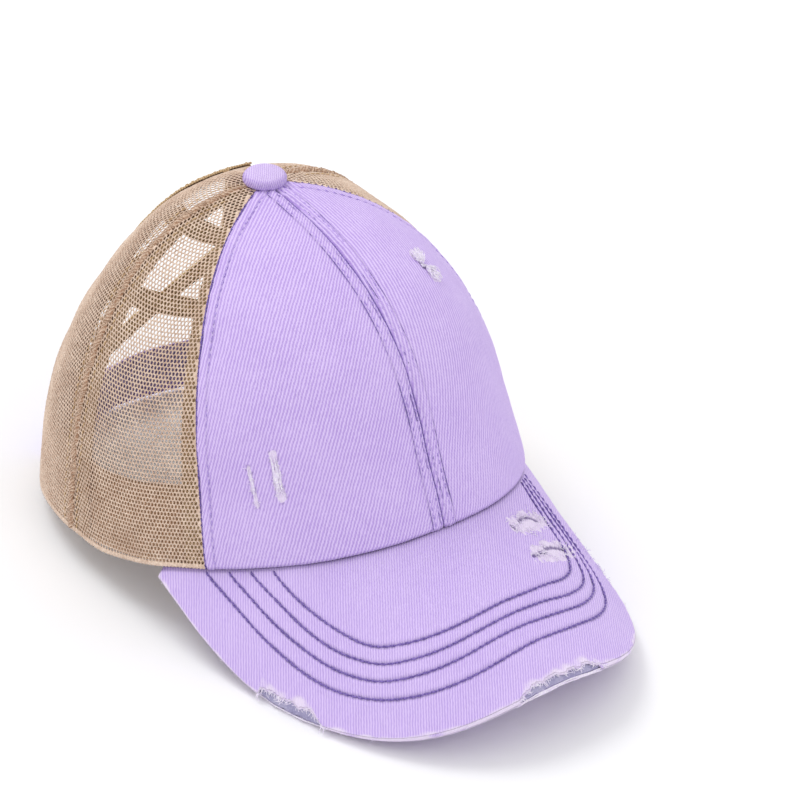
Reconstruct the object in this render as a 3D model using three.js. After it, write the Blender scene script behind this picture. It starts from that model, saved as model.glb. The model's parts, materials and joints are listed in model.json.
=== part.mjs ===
// Ponytail baseball cap: two twill front panels, four open mesh panels, a curved brim,
// and a tall opening at the back, laced with elastic and closed with a hook and loop strap.
// Lengths are millimetres and angles are degrees. +Z is up and the brim points along -Y,
// so the wearer's left side is at +X. The origin is the middle of the footprint.
//
// Two coordinates place everything on the crown. The bearing runs round it, from 0 at the
// middle of the brim to 90 at the wearer's left and 180 at the back. The rise runs up it,
// from 0 at the rim to 90 at the button.
import * as THREE from 'three';

// Crown, measured on its outer face
const crownHalfWidth = 84;
const crownFrontReach = 112;
const crownBackReach = 86;
const crownTopHeight = 139.5;
const crownTopSetback = 3;
const rimFrontHeight = 50;
const rimSideHeight = 13.3;
const rimBackHeight = -1.6; // only passed under the back opening, where there is no rim
const rimSquareness = 2.25;
const topHoleRadius = 3.4;
const sideBlendPower = 1.6; // how soon the side's values take over from the front's and the back's

// Seams, as bearings at the rim and at the top
const frontSeam = { rim: 48.2, top: 64 };
const backSeam = { rim: 96, top: 106 };
const seamGap = 0.3;

// Cloth and tape
const twillThickness = 1.2;
const meshThickness = 1.2;
const layerGap = 0.4;
const tuckGap = 0.7;
const seamTapeWidth = 20;
const seamTapeTopWidth = 9;
const seamTapeThickness = 0.8;
const seamTapeTopRise = 74;
const sweatbandHeight = 32;
const sweatbandThickness = 1;
const sweatbandDepth = 3.5;
const sweatbandEndInset = 2;
const sweatbandEndBearing = 150; // near where it stops at the opening

// Back opening
const openingHalfWidth = 40;
const openingTopRise = 70;
const openingTaper = 0.835;
const openingTapeWidth = 10.5;
const openingTapeThickness = 0.8;
const openingTapeOverrun = 1.5;

// Elastic lacing
const elasticWidth = 10;
const elasticThickness = 0.9;
const elasticTuck = 5;
const elasticPull = 0.4;
const elasticLayerChange = { start: 0.08, end: 0.34 }; // shares of its length, from the left

// Closure strap
const closureHeight = 20;
const closureThickness = 1;
const closureFloorGap = 1.2;
const closureTuck = 9;
const closureOverlap = 12;
const loopStripHeight = 20;
const loopStripFromEdge = 4;
const loopStripLift = 3.4;

// Shares of the tab's and the strip's length, from the left, where each one changes level
const closureTabRise = { start: 0.1, end: 0.8 };
const loopStripDive = { start: 0.3, end: 0.78 };
const loopStripDrop = { start: 0.45, end: 0.9 };

// Leather patch
const patchLength = 34;
const patchHeight = 19;
const patchThickness = 1.4;
const patchFromTape = 17;
const patchRimGap = 1.5;
const patchMiddle = { bearing: 125, rise: 5 }; // where its length is measured along the crown

// Brim
const brimLength = 68;
const brimHalfWidth = 77;
const brimTipHeight = 20.5;
const brimCornerAcross = 72;
const brimAttachBearing = 60;
const brimOutlineSquareness = 2.55;
const brimSideRise = 1.5;
const brimBulge = 1.5;
const brimSeatInset = 1.6;
const brimSeatGap = 0.5;
const brimCoverThickness = 0.9;
const brimBoardThickness = 1.6;
const brimLayerGap = 0.3;
const brimBoardInset = 1.2;
const brimBoardSpan = 0.95; // share of the brim's outline that the board reaches

// Button
const buttonDiameter = 16.5;
const buttonHeight = 4.6;
const buttonEdgeHeight = 1.4;
const buttonEdgeBevel = 0.6;
const buttonPostRadius = 2.4;
const buttonPlateRadius = 6;
const buttonPlateThickness = 1;
const buttonGap = 0.35;

// The crown's side outline: how far it stands out at each rise, against a plain ellipse,
// as shares of its reach at the rim in front, at the side and at the back
const crownSections = [
  { rise: 0, front: 1, side: 1, back: 1 },
  { rise: 15, front: 0.941, side: 0.992, back: 1.004 },
  { rise: 30, front: 0.951, side: 1.014, back: 0.97 },
  { rise: 45, front: 0.993, side: 1.034, back: 0.918 },
  { rise: 60, front: 1.045, side: 1.079, back: 0.911 },
  { rise: 75, front: 1.086, side: 1.121, back: 0.957 },
  { rise: 90, front: 1.12, side: 1.155, back: 1.006 },
];

// Elastics: the rise at which the middle of each one crosses the opening's left and right
// edge, and the layer that it is on there. Layer 1 passes under layer 0.
const elastics = [
  { name: 'elastic_upper_over', left: 53.5, right: 36, leftLayer: 0, rightLayer: 0 },
  { name: 'elastic_upper_under', left: 36.4, right: 53.6, leftLayer: 1.4, rightLayer: 1 },
  { name: 'elastic_lower_over', left: 31.6, right: 12.6, leftLayer: 0, rightLayer: 0 },
  { name: 'elastic_lower_under', left: 14.6, right: 30.7, leftLayer: 0, rightLayer: 1 },
];

// Worn places where the brim's edge has lost its top cloth: place along the outline from
// -1 at the wearer's right end to 1 at the left, share of the outline worn, depth as a
// share of the brim's length
const brimTears = [
  { place: -0.58, span: 0.085, depth: 0.075 },
  { place: 0.01, span: 0.105, depth: 0.07 },
];

const brimTearFlatShare = 0.7; // share of each worn place that has its full depth

// How finely each piece is divided
const divisions = {
  panelRows: 12,
  panelTopRows: 3,
  panelColumns: 7,
  openingTapeColumns: 3,
  ribbonColumns: 2,
  sweatbandRows: 2,
  sweatbandColumns: 44,
  elasticStations: 12,
  closureStations: 18,
  patchStations: 6,
  brimOutline: 120,
  brimPlaces: 32,
  brimRows: 5,
  buttonRows: 6,
  buttonSegments: 20,
};

const colour = {
  lilac: 0xc8aff0,
  deepLilac: 0xa587d7,
  tan: 0xcdaa82,
  tape: 0xbea073,
  elastic: 0xdcbe82,
  brown: 0x6e3e2a,
  leather: 0x8c4b28,
  board: 0x9691b9,
};

const radians = THREE.MathUtils.degToRad;
const degrees = THREE.MathUtils.radToDeg;
const lerp = THREE.MathUtils.lerp;
const smoothstep = THREE.MathUtils.smoothstep;

const cap = new THREE.Group();

function cloth(hex, roughness) {
  return new THREE.MeshStandardMaterial({ color: hex, roughness, metalness: 0 });
}

const twill = cloth(colour.lilac, 0.9);
const mesh = cloth(colour.tan, 0.85);
const tape = cloth(colour.tape, 0.9);

function addPiece(name, geometry, material) {
  const piece = new THREE.Mesh(geometry, material);
  piece.name = name;
  cap.add(piece);
}

// Values that follow the front, the side and the back of the crown
function blend(bearing, front, side, back) {
  const toFront = Math.cos(radians(bearing));
  const frontShare = Math.max(toFront, 0) ** sideBlendPower;
  const backShare = Math.max(-toFront, 0) ** sideBlendPower;
  return front * frontShare + back * backShare + side * (1 - frontShare - backShare);
}

function rimReach(bearing) {
  const across = Math.abs(Math.sin(radians(bearing))) / crownHalfWidth;
  const along = Math.cos(radians(bearing));
  const reach = along > 0 ? crownFrontReach : crownBackReach;
  const sum = across ** rimSquareness + Math.abs(along / reach) ** rimSquareness;
  return sum ** (-1 / rimSquareness);
}

function rimHeight(bearing) {
  return blend(bearing, rimFrontHeight, rimSideHeight, rimBackHeight);
}

// A smooth curve through one column of the crown's table
function sectionShare(column, rise) {
  const values = crownSections.map((row) => row[column]);
  const last = values.length - 1;
  const step = crownSections[1].rise;
  const place = THREE.MathUtils.clamp(rise / step, 0, last);
  const index = Math.min(Math.floor(place), last - 1);
  const t = place - index;
  const at = (k) => {
    if (k < 0) return 2 * values[0] - values[1];
    if (k > last) return 2 * values[last] - values[last - 1];
    return values[k];
  };
  const [a, b, c, d] = [at(index - 1), at(index), at(index + 1), at(index + 2)];
  const cubic = 3 * (b - c) + d - a;
  const square = 2 * a - 5 * b + 4 * c - d;
  return b + 0.5 * t * (c - a + t * (square + t * cubic));
}

function crownPoint(bearing, rise) {
  const front = sectionShare('front', rise);
  const side = sectionShare('side', rise);
  const back = sectionShare('back', rise);
  const reach = rimReach(bearing);
  const share = Math.cos(radians(rise)) * blend(bearing, front, side, back);
  const rimY = -reach * Math.cos(radians(bearing));
  const base = rimHeight(bearing);
  return new THREE.Vector3(
    reach * Math.sin(radians(bearing)) * share,
    crownTopSetback + (rimY - crownTopSetback) * share,
    base + (crownTopHeight - base) * Math.sin(radians(rise)),
  );
}

// Directions along the crown's surface: millimetres gained for each degree
function crownSlopes(bearing, rise) {
  const step = 0.2;
  const low = Math.max(rise - step, 0);
  const across = crownPoint(bearing + step, rise).sub(crownPoint(bearing - step, rise));
  const up = crownPoint(bearing, rise + step).sub(crownPoint(bearing, low));
  across.divideScalar(2 * step);
  up.divideScalar(rise + step - low);
  return { across, up };
}

// A point on a layer of the crown, lifted outwards from its outer face. At the rim every
// layer ends level.
function layerPoint(bearing, rise, lift) {
  const point = crownPoint(bearing, rise);
  const { across, up } = crownSlopes(bearing, rise);
  const normal = across.cross(up).normalize();
  if (rise <= 0) {
    normal.z = 0;
    normal.normalize();
  }
  return point.addScaledVector(normal, lift);
}

function radiusAt(bearing, rise) {
  const point = crownPoint(bearing, rise);
  return Math.hypot(point.x, point.y - crownTopSetback);
}

// Degrees of bearing that span a length, and the rise at which the crown reaches a height
function bearingFor(length, bearing, rise) {
  return degrees(length / radiusAt(bearing, rise));
}

function riseAtHeight(bearing, height) {
  const base = rimHeight(bearing);
  return degrees(Math.asin((height - base) / (crownTopHeight - base)));
}

function riseAtDistance(bearing, distance) {
  const probe = 10;
  const length = crownPoint(bearing, 0).distanceTo(crownPoint(bearing, probe));
  return (distance / length) * probe;
}

// A closed solid between two matching grids of points, grid[row][column]
function closedSheet(outer, inner) {
  const rows = outer.length;
  const columns = outer[0].length;
  const points = [...outer.flat(), ...inner.flat()];
  const out = (row, column) => row * columns + column;
  const into = (row, column) => (rows + row) * columns + column;
  const triangles = [];
  const quad = (a, b, c, d) => triangles.push(a, b, c, a, c, d);
  for (let row = 0; row < rows - 1; row += 1) {
    const over = row + 1;
    for (let column = 0; column < columns - 1; column += 1) {
      const next = column + 1;
      quad(out(row, column), out(row, next), out(over, next), out(over, column));
      quad(into(row, column), into(over, column), into(over, next), into(row, next));
    }
    const end = columns - 1;
    quad(out(row, 0), out(over, 0), into(over, 0), into(row, 0));
    quad(out(row, end), into(row, end), into(over, end), out(over, end));
  }
  for (let column = 0; column < columns - 1; column += 1) {
    const next = column + 1;
    const end = rows - 1;
    quad(out(0, column), into(0, column), into(0, next), out(0, next));
    quad(out(end, column), out(end, next), into(end, next), into(end, column));
  }
  if (signedVolume(points, triangles) < 0) triangles.reverse();
  const geometry = new THREE.BufferGeometry().setFromPoints(points);
  geometry.setIndex(triangles);
  geometry.computeVertexNormals();
  return geometry;
}

function signedVolume(points, triangles) {
  let volume = 0;
  for (let k = 0; k < triangles.length; k += 3) {
    const [a, b, c] = [points[triangles[k]], points[triangles[k + 1]], points[triangles[k + 2]]];
    volume += a.dot(new THREE.Vector3().crossVectors(b, c)) / 6;
  }
  return volume;
}

function steps(count, from = 0, to = 1) {
  return Array.from({ length: count + 1 }, (_, k) => lerp(from, to, k / count));
}

// A sheet on the crown between two lines of bearing, each a function of the rise
function crownSheet({ start, end, rises, columns, top, bottom }) {
  const layer = (lift) =>
    rises.map((rise) =>
      steps(columns, start(rise), end(rise)).map((bearing) => layerPoint(bearing, rise, lift)));
  return closedSheet(layer(top), layer(bottom));
}

// A ribbon on the crown that follows a line of { bearing, rise }, square across it
function crownRibbon({ line, width, stations, top, bottom }) {
  const nudge = 0.01;
  const layer = (lift) =>
    steps(stations).map((t) => {
      const here = line(t);
      const before = line(t - nudge);
      const after = line(t + nudge);
      const { across, up } = crownSlopes(here.bearing, here.rise);
      const ahead = across.clone().multiplyScalar(after.bearing - before.bearing);
      ahead.addScaledVector(up, after.rise - before.rise);
      const normal = new THREE.Vector3().crossVectors(across, up);
      const side = normal.cross(ahead).normalize();
      const cross = across.dot(up);
      const scale = across.lengthSq() * up.lengthSq() - cross * cross;
      const bearingStep = (side.dot(across) * up.lengthSq() - side.dot(up) * cross) / scale;
      const riseStep = (side.dot(up) * across.lengthSq() - side.dot(across) * cross) / scale;
      return steps(divisions.ribbonColumns, -width / 2, width / 2).map((offset) =>
        layerPoint(here.bearing + bearingStep * offset, here.rise + riseStep * offset, lift(t)));
    });
  return closedSheet(layer(top), layer(bottom));
}

// Seams and the edge of the back opening
function seamBearing(seam, rise) {
  return lerp(seam.rim, seam.top, rise / 90);
}

function openingHalfWidthAt(rise) {
  const share = Math.max(1 - rise / openingTopRise, 0);
  return Math.max(openingHalfWidth * share ** openingTaper, seamGap / 2);
}

// Its bearing at a rise, or that of a line at a distance outside it
function openingEdge(rise, inset = 0) {
  const half = openingHalfWidthAt(rise) + inset;
  const passes = 6;
  let bearing = 180;
  for (let pass = 0; pass < passes; pass += 1) {
    bearing = 180 - degrees(Math.asin(half / radiusAt(bearing, rise)));
  }
  return bearing;
}

const hemGap = (bearing, rise) => bearingFor(seamGap / 2, bearing, rise);
const panelTopRise = degrees(Math.acos(topHoleRadius / (crownBackReach * crownSections.at(-1).back)));
const lowerRises = steps(divisions.panelRows, 0, openingTopRise);
const upperRises = steps(divisions.panelTopRows, openingTopRise, panelTopRise).slice(1);
const panelRises = [...lowerRises, ...upperRises];

function addPanel(name, startSeam, endSeam, side, thickness, material) {
  const start = (rise) => side * (startSeam(rise) + hemGap(startSeam(rise), rise));
  const end = (rise) => side * (endSeam(rise) - hemGap(endSeam(rise), rise));
  const columns = divisions.panelColumns;
  const sheet = { start, end, rises: panelRises, columns, top: 0, bottom: -thickness };
  addPiece(name, crownSheet(sheet), material);
}

function addSeamTape(name, seam, side) {
  const top = -meshThickness - layerGap;
  const bottom = top - seamTapeThickness;
  const columns = divisions.ribbonColumns;
  const halfWidth = (rise) => lerp(seamTapeWidth, seamTapeTopWidth, rise / seamTapeTopRise) / 2;
  const edge = (sign) => (rise) => {
    const middle = seamBearing(seam, rise);
    return side * (middle + sign * bearingFor(halfWidth(rise), middle, rise));
  };
  const rises = steps(divisions.panelRows, 0, seamTapeTopRise);
  addPiece(name, crownSheet({ start: edge(-1), end: edge(1), rises, columns, top, bottom }), tape);
}

// The tapes that bind the opening stand a little below the rim, on level feet
function addOpeningTape(name, side) {
  const edge = (inset) => (rise) => side * openingEdge(rise, inset);
  const rises = [...lowerRises, openingTopRise + openingTapeOverrun];
  const bottom = layerGap;
  const top = bottom + openingTapeThickness;
  const columns = divisions.openingTapeColumns;
  const sheet = { start: edge(0), end: edge(openingTapeWidth), rises, columns, top, bottom };
  const geometry = crownSheet(sheet);
  const positions = geometry.getAttribute('position');
  const footHeight = crownPoint(openingEdge(0, openingTapeWidth), 0).z;
  const slack = 1e-3;
  for (let k = 0; k < positions.count; k += 1) {
    if (positions.getZ(k) <= footHeight + slack) positions.setZ(k, 0);
  }
  geometry.computeVertexNormals();
  addPiece(name, geometry, tape);
}

for (const [sideName, side] of [['right', -1], ['left', 1]]) {
  const front = (rise) => seamBearing(frontSeam, rise);
  const back = (rise) => seamBearing(backSeam, rise);
  const centreEdge = (rise) => openingEdge(rise) + hemGap(180, rise);
  addPanel(`front_panel_${sideName}`, () => 0, front, side, twillThickness, twill);
  addPanel(`side_panel_${sideName}`, front, back, side, meshThickness, mesh);
  addPanel(`back_panel_${sideName}`, back, centreEdge, side, meshThickness, mesh);
  addSeamTape(`seam_tape_front_${sideName}`, frontSeam, side);
  addSeamTape(`seam_tape_back_${sideName}`, backSeam, side);
  addOpeningTape(`opening_tape_${sideName}`, side);
}

// Sweatband: one band round the inside, from one side of the opening to the other
function sweatband() {
  const layer = (lift) =>
    steps(divisions.sweatbandRows).map((share) =>
      steps(divisions.sweatbandColumns, -1, 1).map((turn) => {
        const endRise = share * riseAtDistance(sweatbandEndBearing, sweatbandHeight);
        const bearing = turn * openingEdge(endRise, sweatbandEndInset);
        return layerPoint(bearing, share * riseAtDistance(bearing, sweatbandHeight), lift);
      }));
  return closedSheet(layer(-sweatbandDepth), layer(-sweatbandDepth - sweatbandThickness));
}

addPiece('sweatband', sweatband(), cloth(colour.brown, 0.8));

// Elastics lace the opening. Each one is tucked under the panels at both ends.
const elasticLift = -meshThickness - tuckGap;

for (const { name, left, right, leftLayer, rightLayer } of elastics) {
  const leftEdge = openingEdge(left);
  const rightEdge = 360 - openingEdge(right);
  const leftEnd = openingEdge(left, elasticTuck);
  const rightEnd = 360 - openingEdge(right, elasticTuck);
  const slope = (right - left) / (rightEdge - leftEdge);
  const line = (t) => {
    const bearing = lerp(leftEnd, rightEnd, t);
    return { bearing, rise: left + slope * (bearing - leftEdge) };
  };
  const middle = line(0.5).rise;
  const sag = (openingHalfWidthAt(middle) ** 2 / (2 * radiusAt(180, middle))) * elasticPull;
  const layerStep = elasticThickness + layerGap;
  const top = (t) => {
    const change = smoothstep(t, elasticLayerChange.start, elasticLayerChange.end);
    const layer = lerp(leftLayer, rightLayer, change);
    return elasticLift - layer * layerStep - sag * 4 * t * (1 - t);
  };
  const bottom = (t) => top(t) - elasticThickness;
  const ribbon = { line, width: elasticWidth, stations: divisions.elasticStations, top, bottom };
  addPiece(name, crownRibbon(ribbon), cloth(colour.elastic, 0.8));
}

// Closure: the tab comes from under the left tape and ends outside the right one. The
// loop strip comes from under the right tape and lies inside the tab.
const closureTop = layerGap + openingTapeThickness + layerGap + closureThickness;
const closureTucked = elasticLift;
const closureStart = openingEdge(0, closureTuck);
const closureEnd = 360 - openingEdge(0, closureOverlap);

function closureLift(t) {
  return lerp(closureTucked, closureTop, smoothstep(t, closureTabRise.start, closureTabRise.end));
}

function tabLine(t) {
  const bearing = lerp(closureStart, closureEnd, t);
  return { bearing, rise: riseAtHeight(bearing, closureFloorGap + closureHeight / 2) };
}

addPiece('closure_tab', crownRibbon({
  line: tabLine,
  width: closureHeight,
  stations: divisions.closureStations,
  top: closureLift,
  bottom: (t) => closureLift(t) - closureThickness,
}), cloth(colour.deepLilac, 0.85));

const loopStart = openingEdge(0, -loopStripFromEdge);
const loopEnd = 360 - openingEdge(0, closureTuck);

function loopLift(t) {
  const bearing = lerp(loopStart, loopEnd, t);
  const alongTab = (bearing - closureStart) / (closureEnd - closureStart);
  const underTab = closureLift(alongTab) - closureThickness - layerGap;
  return lerp(underTab, closureTucked, smoothstep(t, loopStripDive.start, loopStripDive.end));
}

// The loop strip shows above the tab, and runs down behind it towards its own end
function loopLine(t) {
  const bearing = lerp(loopStart, loopEnd, t);
  const showing = loopStripLift * (1 - smoothstep(t, loopStripDrop.start, loopStripDrop.end));
  return { bearing, rise: riseAtHeight(bearing, closureFloorGap + loopStripHeight / 2 + showing) };
}

addPiece('closure_loop_strip', crownRibbon({
  line: loopLine,
  width: loopStripHeight,
  stations: divisions.closureStations,
  top: loopLift,
  bottom: (t) => loopLift(t) - closureThickness,
}), cloth(colour.deepLilac, 1));

// Patch, on the wearer's left back panel beside the opening
const patchMiddleHeight = (bearing) => rimHeight(bearing) + patchRimGap + patchHeight / 2;
const patchSpan = (length) => bearingFor(length, patchMiddle.bearing, patchMiddle.rise);
const patchEnd = openingEdge(0, openingTapeWidth) - patchSpan(patchFromTape);
const patchStart = patchEnd - patchSpan(patchLength);

addPiece('patch', crownRibbon({
  line: (t) => {
    const bearing = lerp(patchStart, patchEnd, t);
    return { bearing, rise: riseAtHeight(bearing, patchMiddleHeight(bearing)) };
  },
  width: patchHeight,
  stations: divisions.patchStations,
  top: () => layerGap + patchThickness,
  bottom: () => layerGap,
}), cloth(colour.leather, 0.6));

// Brim: three layers on one curved surface, which joins the rim to the outline
const brimThickness = 2 * brimCoverThickness + brimBoardThickness + 2 * brimLayerGap;
const brimEnd = crownPoint(brimAttachBearing, 0);
const brimTipReach = crownFrontReach + brimLength;

function outlinePlan(turn) {
  const across = Math.sin(turn);
  const share = 2 / brimOutlineSquareness;
  const x = brimHalfWidth * Math.sign(across) * Math.abs(across) ** share;
  const y = brimEnd.y - (brimTipReach + brimEnd.y) * Math.abs(Math.cos(turn)) ** share;
  return { x, y };
}

function outlineY(x) {
  const share = 1 - (x / brimHalfWidth) ** brimOutlineSquareness;
  return brimEnd.y - (brimTipReach + brimEnd.y) * share ** (1 / brimOutlineSquareness);
}

// The outline's underside touches the ground at its corners and arches up to its tip
function outlinePoint(turn) {
  const { x, y } = outlinePlan(turn);
  const cornerY = outlineY(brimCornerAcross);
  const tipShare = Math.max(1 - (x / brimCornerAcross) ** 2, 0) ** 2;
  const sideShare = Math.max((y - cornerY) / (brimEnd.y - cornerY), 0) ** brimSideRise;
  const endHeight = brimEnd.z - brimThickness;
  return new THREE.Vector3(x, y, brimTipHeight * tipShare + endHeight * sideShare);
}

const outlineTurns = steps(divisions.brimOutline, -Math.PI / 2, Math.PI / 2);
const brimOutline = new THREE.CatmullRomCurve3(outlineTurns.map(outlinePoint));
brimOutline.arcLengthDivisions = 5 * divisions.brimOutline;

function outlineAt(place) {
  return brimOutline.getPointAt((place + 1) / 2);
}

// The brim's upper side meets the rim just under the panels' hems, all along its seat
function seatTop(place) {
  const seat = layerPoint(place * brimAttachBearing, 0, -brimSeatInset);
  seat.z -= brimSeatGap;
  return seat;
}

// The way the brim faces, the same from the seat to the outline at each place
function brimFacing(place) {
  const step = 0.02;
  const left = Math.max(place - step, -1);
  const right = Math.min(place + step, 1);
  const middleOf = (at) => seatTop(at).lerp(outlineAt(at), 0.5);
  const along = middleOf(right).sub(middleOf(left));
  const outwards = outlineAt(place).sub(seatTop(place));
  return outwards.cross(along).normalize();
}

// A point on the brim, at a share of the way out to the outline and a height in its stack
function brimPoint(place, share, height) {
  const direction = brimFacing(place);
  const inner = seatTop(place).addScaledVector(direction, height - brimThickness);
  const outer = outlineAt(place).addScaledVector(direction, height);
  const point = inner.lerp(outer, share);
  point.z += brimBulge * 4 * share * (1 - share) * (1 - place * place);
  return point;
}

function brimSpan(place) {
  return seatTop(place).distanceTo(outlineAt(place));
}

function tearDepth(place) {
  const depths = brimTears.map((tear) => {
    const offset = Math.abs(place - tear.place) / tear.span;
    return tear.depth * brimLength * (1 - smoothstep(offset, brimTearFlatShare, 1));
  });
  return Math.max(...depths);
}

function brimLayer(low, high, inset, span = 1) {
  const everyPlace = [...steps(divisions.brimPlaces, -1, 1), ...brimTears.flatMap(tearPlaces)];
  const places = everyPlace.filter((place) => Math.abs(place) <= span);
  places.sort((a, b) => a - b);
  const layer = (height) =>
    places.map((place) => {
      const reach = 1 - inset(place) / brimSpan(place);
      return steps(divisions.brimRows, 0, reach).map((share) => brimPoint(place, share, height));
    });
  return closedSheet(layer(high), layer(low));
}

function tearPlaces(tear) {
  return [-1, -brimTearFlatShare, brimTearFlatShare, 1].map((share) => tear.place + share * tear.span);
}

const boardLow = brimCoverThickness + brimLayerGap;
const boardHigh = boardLow + brimBoardThickness;
const coverLow = boardHigh + brimLayerGap;

const boardLayer = brimLayer(boardLow, boardHigh, () => brimBoardInset, brimBoardSpan);

addPiece('brim_cover_under', brimLayer(0, brimCoverThickness, () => 0), twill);
addPiece('brim_board', boardLayer, cloth(colour.board, 0.95));
addPiece('brim_cover_top', brimLayer(coverLow, brimThickness, tearDepth), twill);

// Button: a cloth-covered dome whose post passes through the crown's top hole
function button() {
  const seat = crownTopHeight + buttonGap;
  const radius = buttonDiameter / 2;
  const plateTop = crownTopHeight - Math.max(twillThickness, meshThickness) - buttonGap * 2;
  const rise = buttonHeight - buttonEdgeHeight;
  const dome = steps(divisions.buttonRows, 0, 90).map((turn) => {
    const out = radius * Math.cos(radians(turn));
    return new THREE.Vector2(out, seat + buttonEdgeHeight + rise * Math.sin(radians(turn)));
  });
  dome.at(-1).x = 0;
  const profile = [
    new THREE.Vector2(0, plateTop - buttonPlateThickness),
    new THREE.Vector2(buttonPlateRadius, plateTop - buttonPlateThickness),
    new THREE.Vector2(buttonPlateRadius, plateTop),
    new THREE.Vector2(buttonPostRadius, plateTop),
    new THREE.Vector2(buttonPostRadius, seat),
    new THREE.Vector2(radius - buttonEdgeBevel, seat),
    ...dome,
  ];
  const geometry = new THREE.LatheGeometry(profile, divisions.buttonSegments);
  geometry.rotateX(Math.PI / 2);
  geometry.translate(0, crownTopSetback, 0);
  return geometry;
}

addPiece('button', button(), twill);

// The origin is the middle of the footprint, on the ground
const box = new THREE.Box3().setFromObject(cap);
const middle = box.getCenter(new THREE.Vector3());
cap.position.set(-middle.x, -middle.y, 0);
cap.updateMatrixWorld(true);

export default cap;
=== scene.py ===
import json
import math

import bpy
import numpy as np
from mathutils import Matrix, Vector

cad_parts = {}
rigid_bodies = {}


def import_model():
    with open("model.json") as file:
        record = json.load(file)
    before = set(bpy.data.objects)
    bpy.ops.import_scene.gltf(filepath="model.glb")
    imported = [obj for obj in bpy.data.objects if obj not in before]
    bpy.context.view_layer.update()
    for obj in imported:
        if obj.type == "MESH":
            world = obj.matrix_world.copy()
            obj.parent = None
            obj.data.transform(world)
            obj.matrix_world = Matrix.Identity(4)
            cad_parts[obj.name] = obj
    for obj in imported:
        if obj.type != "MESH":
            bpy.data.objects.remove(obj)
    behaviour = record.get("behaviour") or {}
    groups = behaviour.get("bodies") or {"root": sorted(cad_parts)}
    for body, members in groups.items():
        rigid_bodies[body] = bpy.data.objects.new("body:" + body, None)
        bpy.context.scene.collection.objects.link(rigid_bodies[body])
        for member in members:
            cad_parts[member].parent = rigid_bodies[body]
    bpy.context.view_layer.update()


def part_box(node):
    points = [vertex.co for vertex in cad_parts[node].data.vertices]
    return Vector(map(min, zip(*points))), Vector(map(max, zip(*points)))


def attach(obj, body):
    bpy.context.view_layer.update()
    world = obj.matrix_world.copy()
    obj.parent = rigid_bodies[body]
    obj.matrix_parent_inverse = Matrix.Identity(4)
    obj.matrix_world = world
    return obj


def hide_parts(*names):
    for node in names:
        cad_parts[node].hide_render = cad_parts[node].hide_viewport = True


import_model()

# Crown, as in the solids
CROWN_HALF_WIDTH = 84.0
CROWN_FRONT_REACH = 112.0
CROWN_BACK_REACH = 86.0
CROWN_TOP_HEIGHT = 139.5
CROWN_TOP_SETBACK = 3.0
RIM_FRONT_HEIGHT = 50.0
RIM_SIDE_HEIGHT = 13.3
RIM_BACK_HEIGHT = -1.6
RIM_SQUARENESS = 2.25
SIDE_BLEND_POWER = 1.6
PANEL_TOP_RISE = 87.75
FRONT_SEAM = (48.2, 64.0)
BACK_SEAM = (96.0, 106.0)
RIM_LEVEL_RISE = 6.0
SECTION_STEP = 15.0
SECTIONS = {
    "front": np.array([1.0, 0.941, 0.951, 0.993, 1.045, 1.086, 1.12]),
    "side": np.array([1.0, 0.992, 1.014, 1.034, 1.079, 1.121, 1.155]),
    "back": np.array([1.0, 1.004, 0.97, 0.918, 0.911, 0.957, 1.006]),
}

# Cloth, tapes and elastics, as in the solids
CLOTH = 1.2
LAYER_GAP = 0.4
TUCK_GAP = 0.7
OPENING_HALF_WIDTH = 40.0
OPENING_TOP_RISE = 70.0
OPENING_TAPER = 0.835
OPENING_TAPE_WIDTH = 10.5
OPENING_TAPE_THICKNESS = 0.8
OPENING_TAPE_TOP_RISE = 71.5
SEAM_TAPE_WIDTHS = (20.0, 9.0)
SEAM_TAPE_TOP_RISE = 74.0
SEAM_TAPE_THICKNESS = 0.8
SWEATBAND_HEIGHT = 32.0
SWEATBAND_DEPTH = 3.5
SWEATBAND_THICKNESS = 1.0
SWEATBAND_END_INSET = 2.0
ELASTIC_WIDTH = 10.0
ELASTIC_THICKNESS = 0.9
ELASTIC_TUCK = 5.0
ELASTIC_PULL = 0.4
ELASTICS = [
    {"name": "elastic_upper_over", "left": 53.5, "right": 36.0, "layers": (0.0, 0.0)},
    {"name": "elastic_upper_under", "left": 36.4, "right": 53.6, "layers": (1.4, 1.0)},
    {"name": "elastic_lower_over", "left": 31.6, "right": 12.6, "layers": (0.0, 0.0)},
    {"name": "elastic_lower_under", "left": 14.6, "right": 30.7, "layers": (0.0, 1.0)},
]
CLOSURE_HEIGHT = 20.0
CLOSURE_THICKNESS = 1.0
CLOSURE_FLOOR_GAP = 1.2
CLOSURE_TUCK = 9.0
CLOSURE_OVERLAP = 12.0
LOOP_FROM_EDGE = 4.0
LOOP_LIFT = 3.4
PATCH_LENGTH = 34.0
PATCH_HEIGHT = 19.0
PATCH_THICKNESS = 1.4
PATCH_FROM_TAPE = 17.0
PATCH_RIM_GAP = 1.5
PATCH_MIDDLE = (125.0, 5.0)

# Brim, as in the solids
BRIM_LENGTH = 68.0
BRIM_HALF_WIDTH = 77.0
BRIM_TIP_HEIGHT = 20.5
BRIM_CORNER_ACROSS = 72.0
BRIM_ATTACH_BEARING = 60.0
BRIM_SQUARENESS = 2.55
BRIM_SIDE_RISE = 1.5
BRIM_BULGE = 1.5
BRIM_SEAT_INSET = 1.6
BRIM_SEAT_GAP = 0.5
BRIM_COVER = 0.9
BRIM_BOARD = 1.6
BRIM_GAP = 0.3
BRIM_THICKNESS = 2 * BRIM_COVER + BRIM_BOARD + 2 * BRIM_GAP

# Tears in the brim's edge: their place and half span round it, and their depth as a share of
# the brim's length. They are less deep than the notches in the solids.
BRIM_TEARS = [
    {"place": -0.58, "span": 0.085, "depth": 0.06},
    {"place": 0.01, "span": 0.105, "depth": 0.04},
]

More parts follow.
